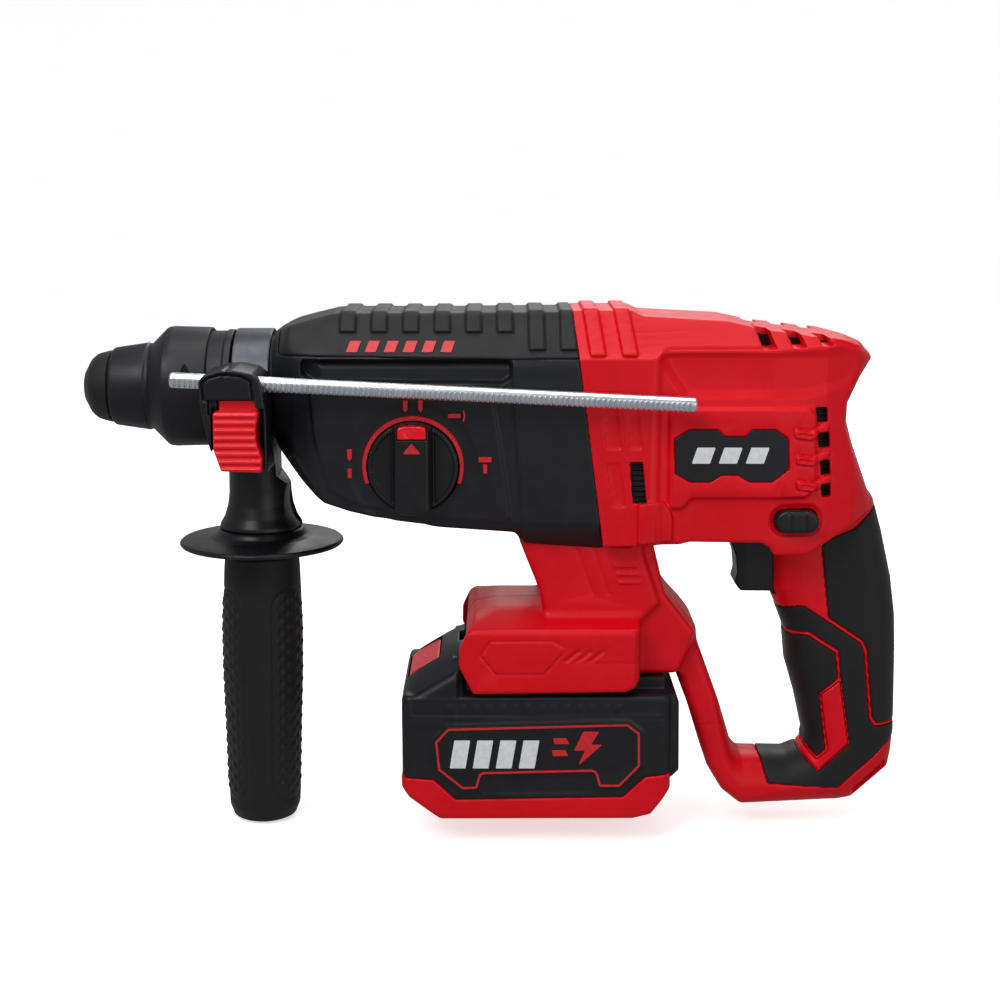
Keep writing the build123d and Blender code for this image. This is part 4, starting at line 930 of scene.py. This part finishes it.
def battery_latch():
    block = Block((134, -17, -127), (169, 17, -99), 0.34)
    button = outline([(LATCH_X0, -122.0), (138.4, -119.4), (144, -116.4), (148.2, -114.2), (148.4, -118.6),
                      (137.4, -125.8), (LATCH_X0, -125.0)], 0.7)
    field = rmax(block.side(button), np.abs(block.y) - LATCH_HALF, 1.0)
    dent = block.shape([(137.6, -119.4), (142.4, -117.2), (145.8, -114.8), (147, -104), (138, -106)], 0.6)
    dent = np.maximum(dent, np.abs(block.y) - LATCH_HALF + 2.2)
    field = press(field, dent, 0.9, 0.8)
    mark = np.abs(block.x - 140.8 - np.abs(block.y) * 0.35) - 0.45
    field = press(field, np.maximum(mark, np.abs(block.y) - 5.0), -0.5, 0.5)
    tongue = outline([(146, -116.4), (157.6, -115.8), (159.4, -112), (160.4, -105), (163.4, -100.4),
                      (166.6, -100.4),
                      (168, -104), (168, -108.6), (161.6, -110.0), (160.0, -117.6), (146, -118.4)], 0.4)
    field = rmin(field, rmax(block.side(tongue), np.abs(block.y) - 7.1, 0.5), 0.5)
    field_piece("battery_latch_button", block, field, "battery_latch", "red_button", RED_GLOSS,
                ["battery_latch"],
                ratio=0.6)


# ---------------------------------------------------------------- chuck
def chuck():
    cap = rounded([(0, 5.0), (0, 6.4), (1.2, 8.6), (3.0, 11.8), (5.6, 13.8), (11.0, 15.2), (11.0, 9.5),
                   (2.5, 9.5),
                   (2.5, 5.0)], [0.3, 0.8, 2.0, 4.0, 4.0, 0.5, 0, 0, 0.2])
    finish_piece(lathe("dust_cap_rubber", cap, sharp=60), "spindle", "rubber", RUBBER, "dust_cap")
    profile = [(11.6, 9.8), (11.6, 15.2), (12.6, 16.3), (26.6, 18.4), (27.4, 18.0), (28.6, 18.1),
               (29.4, 19.0),
               (35.4, 24.9), (38, 25.2), (53.6, 24.8), (53.6, 23.7), (40.5, 23.7), (36, 18), (31, 14.5),
               (23, 14.5),
               (23, 9.8)]
    radii = [0, 0.6, 1.5, 0.8, 0.6, 0.6, 1.2, 2.2, 1.0, 0.5, 0.2, 1, 1, 0, 0, 0]

    def scallop(along, r, a):
        """Shallow finger flats round the nose of the sleeve."""
        if r < 15 or along > 27:
            return r
        return r - 0.18 * max(0.0, math.sin((along - 12.5) / 14.5 * math.pi)) * (0.5
                                                                                 + 0.5 * math.cos(10 * a))

    sleeve = lathe("locking_sleeve_shell", rounded(profile, radii), turns=240, sharp=50, shape=scallop)
    finish_piece(sleeve, "locking_sleeve", "black_plastic", BLACK, "locking_sleeve")
    arrow = [(45.2, 12.4), (48.6, 6.2), (42.4, 6.2)]
    mark = prism("sleeve_mark", arrow, -24.9, -21.0, 0.2, 0.4)
    finish_piece(mark, "locking_sleeve", "black_plastic", BLACK_FINE)
    ring = [(47.6, 14.2), (47.6, 22.3), (49, 23.3), (59.8, 23.3), (60.6, 23.9), (63.2, 23.9), (63.2, 14.2)]
    cover = lathe("cover_ring", rounded(ring, [0, 0.5, 0.6, 0.4, 0.4, 0.4, 0]), sharp=40)
    finish_piece(cover, "housing", "black_plastic", BLACK, "sleeve_cover_ring")


# ---------------------------------------------------------------- dial
def dial():
    x0, z0 = DIAL
    block = Block((x0 - 19.5, -48, z0 - 19.5), (x0 + 19.5, -30, z0 + 19.5), 0.3)
    disc = rmax(block.along_y(x0, z0, 18.3), np.abs(block.y + 35.9) - 1.9, 0.7)
    well = np.maximum(block.along_y(x0, z0, 16.6), block.y + 37.2)
    disc = cut(disc, well)
    taper = 6.9 + (block.y + 46) * 0.10
    grip = rmax(np.abs(block.x - x0) - taper, np.abs(block.y + 41) - 5.1, 1.3)
    grip = rmax(grip, block.along_y(x0, z0, 18.25), 1.0)
    field = rmin(disc, grip, 0.8)
    hole = rmax(np.abs(block.x - x0) - 6.0, np.abs(block.z - z0 - 16.5) - 4.2, 0.6)
    field = cut(field, np.maximum(hole, block.y + 39.6))
    for height in (-6.6, 6.6):
        groove = np.maximum(np.abs(block.x - x0 - height * 1.28) - 0.15, np.abs(block.z - z0) - 14)
        field = press(field, np.maximum(groove, block.y + 36), 0.3, 0.4)
    field_piece("mode_knob", block, field, "mode_dial", "black_plastic", BLACK_FINE, ["mode_dial"],
                ratio=0.6)
    block = Block((x0 - 6.5, -47.5, z0 + 10), (x0 + 6.5, -41, z0 + 18.6), 0.22)
    button = rmax(np.abs(block.x - x0) - 5.7, np.abs(block.z - z0 - 15.5) - 2.9, 0.6)
    button = rmax(button, np.abs(block.y + 44.1) - 2.1, 0.6)
    button = rmax(button, block.along_y(x0, z0, 18.1), 0.8)
    button = press(button, np.maximum(block.along_y(x0, z0 + 15.5, 2.8), block.y + 45.4), 0.35, 1.6)
    field_piece("dial_release", block, button, "dial_button", "red_button", RED_GLOSS, ["dial_button"],
                ratio=0.7)
    arrow = prism("dial_pointer", [(x0 - 3.7, z0 + 6.9), (x0 + 3.7, z0 + 6.9), (x0, z0 + 11.2)], -46.4,
                  -45.6, 0.15, 0.4)
    finish_piece(arrow, "mode_dial", "red_button", INK_RED)


def dial_marks():
    """Red arc round the knob and generic drill and hammer pictograms."""
    x0, z0 = DIAL
    steps = 72
    vertices, faces = [], []
    for i in range(steps + 1):
        a = math.radians(-20 + 220 * i / steps)
        for r, y in ((18.9, -35.0), (19.0, -35.95), (20.4, -35.95), (20.7, -35.0)):
            vertices.append((x0 + r * math.cos(a), y, z0 + r * math.sin(a)))
    for i in range(steps):
        for k in range(4):
            m = (k + 1) % 4
            faces.append((4 * i + k, 4 * i + m, 4 * i + 4 + m, 4 * i + 4 + k))
    faces += [(0, 1, 2, 3), tuple(4 * steps + k for k in (3, 2, 1, 0))]
    arc = mesh_object("dial_arc", vertices, faces, sharp=35)
    fix_normals(arc)
    finish_piece(arc, "housing", "red_button", INK_RED)
    hammer = [(-3.1, 1.4), (3.1, 1.4), (3.1, -1.0), (-3.1, -1.0)]
    stick = [(-1.0, -2.0), (1.0, -2.0), (0.9, -6.4), (-0.9, -6.4)]
    drill = [(-1.1, 2.6), (1.1, 2.6), (1.1, -1.6), (0, -3.0), (-1.1, -1.6)]
    wide = [(-3.0, 0.9), (3.0, 0.9), (3.0, -0.9), (-3.0, -0.9)]
    hook = [(3.8, 2.6), (4.6, 2.6), (5.2, 0), (4.6, -2.6), (3.8, -2.6), (4.3, 0)]
    drawings = [
        (135.9, -3.6, drill), (142.0, -3.6, drill), (155.6, -7.6, wide), (155.6, -7.6, hook),
        (168.0, -25.6, hammer), (168.0, -25.6, stick), (113.2, -27.4, stick), (113.2, -23.4, drill),
    ]
    for number, (x, z, shape) in enumerate(drawings):
        points = [(x + 0.86 * u, z + 0.86 * v) for u, v in shape]
        mark = prism(f"mode_mark_{number}", points, -36.4, -35.2, 0.12, 0.25)
        finish_piece(mark, "housing", "red_button", INK_RED)


# ---------------------------------------------------------------- side handle and rod
def rod_height(x):
    return ROD_START[1] - (x - ROD_START[0]) * math.tan(ROD_TILT)


def clamp_openings(field, block):
    """Room for the collar, the gear housing's cone, the rod, the button and the bolt."""
    field = cut(field, np.maximum(np.hypot(block.y, block.z) - 24.6, np.abs(block.x - 70) - 30))
    field = cut(field, np.maximum(np.hypot(block.y, block.z) - 25.6, block.x - 62))
    cone = np.maximum(NOSE_X - block.x, np.hypot(block.y, block.z) - 38 - np.maximum(block.x - 80, 0) * 0.8)
    field = cut(field, cone)
    rod = np.hypot(block.y - ROD_Y, block.z - rod_height(block.x)) - 3.5
    field = cut(field, rod)
    field = cut(field, block.box(60.0, 81.0, -60, -43.9, -28.6, -2.6))
    field = cut(field, block.box(62, 79.5, -48.4, -41.5, -30, 2.4))
    bore = np.maximum(np.hypot(block.x - GRIP_X, block.y) - 4.3, block.z + 20)
    field = cut(field, bore)
    return field


def clamp_head():
    block = Block((53, -54, -62), (92, 20, 23), 0.42)
    radius = np.hypot(block.x - GRIP_X, block.y)
    neck_r = block.by_height([-62, -60.4, -58.5, -55.0, -50.0, -45.0, -38.0, -28.0, -18.0],
                             [17.4, 17.7, 17.4, 15.4, 13.9, 13.3, 13.2, 13.2, 13.0])
    neck = rmax(radius - neck_r, np.abs(block.z + 39.9) - 20.5, 0.8)
    arch = block.shape([(62.2, -28.8), (58.6, -16), (55.8, 0), (55.4, 8.0), (57.8, 10.7), (64.0, 12.6),
                        (69.0, 12.8), (76.0, 11.4), (79.4, 8.8), (80.8, 4), (82.0, -6), (82.0, -28.8)], 1.6)
    tower = rmax(arch, np.abs(block.y + 36.6) - 14.8, 0.9)
    cheek = rmax(block.shape([(61.0, -28.6), (80.5, -28.6), (81, -20), (59.6, -20)], 1.0),
                 np.abs(block.y + 14) - 21, 3.0)
    field = rmin(rmin(neck, cheek, 5.0), tower, 2.0)
    face = block.shape([(57.3, 0.2), (56.9, 7.8), (59.4, 9.6), (64.0, 10.8), (67.5, 10.9), (72.8, 10.2),
                        (76.2, 8.2), (76.8, 0.2)], 1.0)
    field = press(field, np.maximum(np.maximum(np.abs(face) - 0.35, block.y + 49), 0.6 - block.z), 1.2, 0.4)
    field = press(field, np.maximum(np.maximum(face, block.y + 49), 0.4 - block.z), 0.4, 0.4)
    notch = np.maximum(np.abs(block.x - 66) - 0.4, np.maximum(np.abs(block.z - 12) - 1.8, block.y + 38))
    field = press(field, notch, 0.7, 0.4)
    lip = np.maximum((block.z - 0.2) * 0.62 - (block.y + 51.6) * 0.78, np.abs(block.x - 68.4) - 9.4)
    lip = np.maximum(np.maximum(lip, block.y + 47.6), np.abs(block.z + 2.4) - 2.8)
    field = cut(field, lip)
    dish = np.hypot(block.x - 88.6, (block.z + 49) / 2.1) - 5.0
    field = press(field, np.maximum(dish, np.abs(block.y + 6) - 9), 1.8, 1.6)
    field = clamp_openings(field, block)
    field_piece("clamp_head_body", block, field, "side_handle", "black_plastic", BLACK_FINE, ["clamp_head"],
                ratio=0.5)
    band = [(64.3, 21.8), (64.3, 24.0), (64.8, 24.4), (78.9, 24.4), (79.4, 24.0), (79.4, 21.8)]
    strap = lathe("clamp_band", band, sharp=30, turns=160)
    finish_piece(strap, "side_handle", "dark_steel", DARK_STEEL)


def rod_release():
    block = Block((59.5, -56, -29.5), (82, -43, 3), 0.3)
    shape = outline([(61.4, -3.6), (79.3, -3.6), (78.2, -10), (78.2, -15), (80.4, -22.5), (79.9, -27.7),
                     (64.0, -27.1),
                     (61.2, -18.5)], 1.0)
    field = rmax(block.side(shape), np.abs(block.y + 50.5) - 4.0, 0.8)
    wave = np.clip(np.cos((block.z + 6.4) / 3.1 * 2 * math.pi) * 1.5, -1, 1)
    ribs = np.where(block.z < -4.4, 0.36 * wave * np.clip((-52.6 - block.y) / 0.8, 0, 1), 0)
    ribs = ribs * np.clip(-block.side(shape), 0, 1)
    field = field + ribs.astype(np.float32)
    tongue = rmax(np.abs(block.x - 70.7) - 7.7, np.abs(block.y + 46.2) - 1.8, 0.3)
    field = np.minimum(field, rmax(tongue, np.abs(block.z + 9.2) - 10.8, 0.3))
    field_piece("rod_release_pad", block, field, "rod_button", "red_button", RED_GLOSS, ["rod_button"],
                ratio=0.6)


def depth_rod():
    """Zinc-plated rod, smooth above and toothed along its lower front."""
    pitch = 2.1
    step = pitch / 6
    count = int(ROD_LENGTH / step)
    around = 40
    vertices = []
    for i in range(count + 1):
        along = ROD_LENGTH * i / count
        end = min(along, ROD_LENGTH - along)
        phase = (along / pitch) % 1.0
        tooth = 1.0 if 0.28 < phase < 0.86 else 0.0
        for k in range(around):
            a = 2 * math.pi * k / around
            front = min(1.0, max(0.0, (0.22 - math.sin(a)) * 7)) * min(1.0,
                                                                       max(0.0, (0.93 + math.sin(a)) * 7))
            front *= 1.0 if math.cos(a) < 0.2 else 0.0
            r = 3.1 - (0.0 if end > 0.5 else 0.5 - end) - 0.12 * front
            if 1.6 < end:
                r -= 0.5 * front * (1 - tooth)
            y, up = r * math.cos(a), r * math.sin(a)
            vertices.append((ROD_START[0] + along * math.cos(ROD_TILT) + up * math.sin(ROD_TILT), ROD_Y + y,
                             ROD_START[1] - along * math.sin(ROD_TILT) + up * math.cos(ROD_TILT)))
    faces = []
    for i in range(count):
        for k in range(around):
            m = (k + 1) % around
            faces.append((i * around + k, i * around + m, (i + 1) * around + m, (i + 1) * around + k))
    faces.append(tuple(range(around))[::-1])
    faces.append(tuple(count * around + k for k in range(around)))
    rod = mesh_object("depth_rod_bar", vertices, faces, sharp=35)
    fix_normals(rod)
    finish_piece(rod, "depth_rod", "zinc", ZINC, "depth_rod")


def hand_grip():
    """Hand guard and the dimpled soft grip."""
    guard = [(-60.6, 9.2), (-60.6, 17.6), (-61.4, 18.4), (-63.0, 19.4), (-64.2, 22.0), (-64.9, 30.0),
             (-65.4, 34.0),
             (-66.5, 35.0), (-67.6, 34.2), (-68.8, 26.0), (-70.4, 18.0), (-71.2, 16.4), (-71.2, 9.2)]
    radii = [0, 0.6, 0.6, 1.5, 2, 1.5, 0.8, 0.7, 0.8, 2, 1, 0.4, 0]
    disc = lathe("hand_guard", rounded(guard, radii), axis="z", centre=(GRIP_X, 0, 0), sharp=50)
    finish_piece(disc, "handle_grip", "black_plastic", BLACK_FINE, "handle_flange")
    block = Block((52, -20, -191), (92, 20, -70), 0.5)
    height = [-192, -190.2, -188.6, -184, -176, -150, -124, -104, -88, -78, -72.4, -71.3]
    radius = [9.0, 11.4, 13.6, 15.3, 15.7, 16.3, 17.1, 17.2, 16.6, 16.2, 15.8, 15.0]
    body_r = block.by_height(height, radius)
    centre = block.by_height([-190, -71], [GRIP_X - 1.6, GRIP_X - 0.2])
    dx, dy = block.x - centre, block.y
    field = np.hypot(dx, dy * 1.03) - body_r
    field = rmax(field, np.abs(block.z + 130.9) - 59.5, 2.0)
    angle = np.arctan2(dx, -dy)
    arc = angle * 16.5
    panel = rmax(np.abs(np.abs(arc) - 17.0) - 10.8, np.abs(block.z + 133) - 47.0, 8.0)
    field = press(field, np.abs(panel) - 0.55, 0.45, 0.7)
    pitch_z, pitch_a = 5.6, 6.4
    for shift in (0.0, 0.5):
        u = (np.abs(arc) - 11.2 - pitch_a * shift) / pitch_a
        v = (block.z + 133) / pitch_z + shift
        du = (u - np.round(u)) * pitch_a
        dv = (v - np.round(v)) * pitch_z
        dot = np.hypot(du, dv) - 1.25
        field = press(field, np.where(panel < -2.2, dot, FAR), -0.55, 1.1)
    field_piece("grip_sleeve", block, field, "handle_grip", "soft_black", RUBBER, ["side_grip"], ratio=0.6)


# ---------------------------------------------------------------- small parts
def trigger():
    block = Block((265, -10, -88), (298, 10, -63.5), 0.35)
    shape = outline([(266.9, -64.5), (271.8, -65.4), (274.2, -71.6), (275.0, -79.6), (273.8, -83.2),
                     (276.4, -86.8),
                     (296, -87), (296, -64.5)], [0.4, 3, 6, 6, 2, 2, 0.5, 0.5])
    field = rmax(block.side(shape), np.abs(block.y) - 8.8, 1.0)
    field = rmax(field, np.abs(block.y) - 10.6 + np.clip(279 - block.x, 0, 9) * 0.35, 2.0)
    field_piece("trigger_blade", block, field, "trigger", "black_plastic", BLACK_FINE, ["trigger"],
                ratio=0.6)


def reversing_lever():
    block = Block((285, -38.5, -57), (305.5, 38.5, -46), 0.45)
    oval = lever_oval(block, 4.3, 4.6)
    field = rmax(oval, np.abs(block.y) - 36.6, 1.4)
    ridges = np.abs(np.abs(block.x - LEVER[0]) - 3.0) - 0.5
    ridges = np.maximum(ridges, np.minimum(36.0 - np.abs(block.y), 5))
    field = press(field, np.maximum(ridges, 34.5 - np.abs(block.y)), 0.25, 0.6)
    field_piece("reversing_bar", block, field, "reversing_lever", "black_plastic", BLACK_FINE,
                ["reversing_lever"],
                ratio=0.6)


def badges():
    """Black side badges with a generic pale three-bar mark."""
    for sign, side in SIDES:
        inner, outer = sign * (REAR_HALF + 0.3), sign * (REAR_HALF + 1.9)
        mx, mz = BADGE_MIDDLE
        shrunk = [(mx + (x - mx) * 0.985, mz + (z - mz) * 0.975) for x, z in BADGE]
        plate = prism(f"badge_{side}", shrunk, min(inner, outer), max(inner, outer), 0.35, 0.8)
        finish_piece(plate, "housing", "black_plastic", BLACK_FINE, *(["side_badges"] if sign < 0 else []))
        for number in range(3):
            x = 251.6 + 10.9 * number
            bar = [(x, -27.2), (x + 7.4, -27.2), (x + 9.6, -20.6), (x + 2.2, -20.6)]
            mark = prism(f"badge_bar_{side}_{number}", bar, min(outer, outer + sign * 0.14),
                         max(outer, outer + sign * 0.14), 0.05, 0.4)
            finish_piece(mark, "housing", "black_plastic", INK_WHITE)


def battery_plates():
    """Side plates of the pack: red outline, pale bars and a generic charge symbol."""
    for sign, side in SIDES:
        face = sign * (PACK_HALF + 0.75)
        plate = prism(f"pack_plate_{side}", LABEL, min(face, sign * PACK_HALF), max(face, sign * PACK_HALF),
                      0.2, 1.0)
        finish_piece(plate, "battery", "black_plastic", BLACK_FINE,
                     *(["battery_labels"] if sign < 0 else []))
        top = face + sign * 0.16
        rim = rim_strip(f"pack_rim_{side}", LABEL, 0.9, min(face, top), max(face, top))
        finish_piece(rim, "battery", "red_button", INK_RED)
        shapes = []
        for number in range(4):
            x = 153.0 + 9.6 * number
            shapes.append(([(x, -155.6), (x + 6.6, -155.6), (x + 8.6, -143.4), (x + 2.0, -143.4)],
                           INK_WHITE))
        bolt = [(208.6, -139.6), (215.2, -139.6), (212.0, -145.2), (216.6, -145.2), (206.4, -154.6),
                (209.4, -147.8),
                (204.8, -147.8)]
        shapes.append((bolt, INK_RED))
        shapes.append(([(196.2, -142.4), (201.6, -142.4), (202.8, -145.0), (196.6, -145.0)], INK_RED))
        shapes.append(([(195.6, -147.6), (201.2, -147.6), (202.4, -150.2), (196.0, -150.2)], INK_RED))
        for number, (points, ink) in enumerate(shapes):
            if sign > 0:
                points = [(PACK_TURN - x, z) for x, z in points]
            mark = prism(f"pack_mark_{side}_{number}", points, min(face, top), max(face, top), 0.05, 0.3)
            finish_piece(mark, "battery", "black_plastic", ink)


def rim_strip(name, points, width, y0, y1):
    """A thin raised line that follows a closed outline, just inside it."""
    outer = np.array(rounded(points, 1.6))
    ahead = np.roll(outer, -1, axis=0) - np.roll(outer, 1, axis=0)
    ahead /= np.linalg.norm(ahead, axis=1)[:, None]
    area = np.sum(outer[:, 0] * np.roll(outer[:, 1], -1) - np.roll(outer[:, 0], -1) * outer[:, 1])
    normal = np.stack([-ahead[:, 1], ahead[:, 0]], 1) * (1 if area > 0 else -1)
    rings = [(outer + normal * 0.5, y0), (outer + normal * 0.5, y1), (outer + normal * (0.5 + width), y1),
             (outer + normal * (0.5 + width), y0)]
    n = len(outer)
    vertices = [(x, y, z) for ring, y in rings for x, z in ring]
    faces = []
    for k in range(4):
        m = (k + 1) % 4
        for i in range(n):
            j = (i + 1) % n
            faces.append((k * n + i, k * n + j, m * n + j, m * n + i))
    piece = mesh_object(name, vertices, faces, sharp=35)
    fix_normals(piece)
    return piece


def cover_stripes():
    """A row of slanted red bars on the top cover, one row on each side."""
    for sign, side in SIDES:
        for number in range(6):
            x = 112.0 + 7.6 * number
            corners = [(x, 17.6), (x + 4.4, 17.6), (x + 6.0, 21.8), (x + 1.6, 21.8)]
            vertices = []
            for lift in (0.05, 0.28):
                for px, pz in corners:
                    y = 33.4 - (pz - 15.6) * (14.9 / 17.8) + lift
                    vertices.append((px, sign * y, pz + lift * 0.5))
            faces = [(0, 1, 2, 3), (7, 6, 5, 4)] + [(i, (i + 1) % 4, 4 + (i + 1) % 4,
                                                     4 + i) for i in range(4)]
            piece = mesh_object(f"cover_stripe_{side}_{number}", vertices, faces, sharp=30)
            fix_normals(piece)
            finish_piece(piece, "housing", "red_button", INK_RED)


def cad_materials():
    """Procedural finishes for the CAD nodes that stay."""
    steel = ("tool_holder", "lock_rollers", "spindle_tube", "spindle_gear", "spindle_bearing",
             "impact_bolt",
             "intermediate_bearings", "motor_bearings", "striker", "wobble_bearing", "intermediate_shaft",
             "intermediate_pinion", "intermediate_gear", "mode_clutch", "motor_shaft", "rotor", "stator",
             "clamp_bolt",
             "clamp_nut", "housing_screws", "plate_screws", "trigger_spring", "sleeve_spring",
             "bearing_plate",
             "piston", "controller")
    for name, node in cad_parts.items():
        if name in steel:
            material = STEEL
        elif name == "clamp_strap":
            material = DARK_STEEL
        elif name == "front_seal":
            material = RUBBER
        else:
            material = INNER
        for slot in node.material_slots:
            slot.material = material


# ---------------------------------------------------------------- stage, metres and watts
FLOOR_GLOW = 0.62
SKY = 0.34
LAMPS = (
    # name, place, size, power
    ("key", (-0.45, -1.0, 1.05), 0.7, 11.0),
    ("fill", (0.9, -1.3, 0.25), 1.0, 4.0),
    ("top", (0.17, -0.1, 1.4), 0.9, 9.0),
    ("back", (0.4, 1.3, 0.9), 1.0, 8.0),
)
CAMERA_PLACE = (0.174, -0.7294, 0.0928)
CAMERA_TILT = 79.0       # degrees up from straight down
LENS = 62.64


def cove(low):
    """Pale floor disc that curves up into a round wall, far from the tool."""
    profile = [(0.0, 0.0), (2.2, 0.0), (2.7, 0.06), (3.1, 0.25), (3.4, 0.6), (3.5, 1.2), (3.5, 2.6)]
    turns = 64
    vertices = [(0, 0, low / MM)]
    for r, z in profile[1:]:
        for i in range(turns):
            a = 2 * math.pi * i / turns
            vertices.append((r * math.cos(a) / MM, r * math.sin(a) / MM, (low + z) / MM))
    faces = [(0, 1 + i, 1 + (i + 1) % turns) for i in range(turns)]
    for ring in range(len(profile) - 2):
        for i in range(turns):
            a, b = 1 + ring * turns + i, 1 + ring * turns + (i + 1) % turns
            faces.append((a, a + turns, b + turns, b))
    return mesh_object("pale_cove", vertices, faces, sharp=0)


def floor_material():
    """Pale, matt and partly lit from itself, so that the backdrop stays even."""
    material, tree, shader, where = nodes_of("pale_floor")
    tone = blend_colour(tree, noise(tree, where, 3.0), (0.90, 0.90, 0.90), (0.93, 0.93, 0.93))
    tree.links.new(tone, shader.inputs["Base Color"])
    shader.inputs["Roughness"].default_value = 0.9
    shader.inputs["Specular IOR Level"].default_value = 0.0
    shader.inputs["Emission Color"].default_value = (1.0, 1.0, 1.0, 1.0)
    shader.inputs["Emission Strength"].default_value = FLOOR_GLOW
    return material


def lights():
    """Weak sky and four soft lamps, all turned to the middle of the tool."""
    world = bpy.data.worlds.new("studio")
    world.use_nodes = True
    background = world.node_tree.nodes["Background"]
    background.inputs["Color"].default_value = (0.97, 0.98, 1.0, 1.0)
    background.inputs["Strength"].default_value = SKY
    bpy.context.scene.world = world
    middle = Vector((0.17, 0.0, -0.05))
    for name, place, size, power in LAMPS:
        data = bpy.data.lights.new(name, "AREA")
        data.size = size
        data.energy = power
        lamp = bpy.data.objects.new(name, data)
        bpy.context.scene.collection.objects.link(lamp)
        lamp.location = place
        lamp.rotation_euler = (middle - Vector(place)).to_track_quat("-Z", "Y").to_euler()


def view():
    """The camera, on the dial side and a little above."""
    camera = bpy.data.objects.new("camera", bpy.data.cameras.new("camera"))
    bpy.context.scene.collection.objects.link(camera)
    camera.data.sensor_width = 36.0
    camera.data.lens = LENS
    camera.location = CAMERA_PLACE
    camera.rotation_euler = (math.radians(CAMERA_TILT), 0, 0)
    camera.data.clip_start = 0.01
    bpy.context.scene.camera = camera
    bpy.context.scene.view_settings.view_transform = "Standard"
    bpy.context.scene.view_settings.look = "None"


def stage():
    floor = cove(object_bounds()[0][2])
    floor.data.materials.append(floor_material())
    floor.visible_diffuse = False
    floor.visible_glossy = False
    floor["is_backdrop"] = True
    lights()
    view()


cad_materials()
red_half(-1)
red_half(1)
overmould()
vent_screens()
gear_housing()
top_cover()
battery()
battery_latch()
chuck()
dial()
dial_marks()
clamp_head()
rod_release()
depth_rod()
hand_grip()
trigger()
reversing_lever()
badges()
battery_plates()
cover_stripes()
stage()
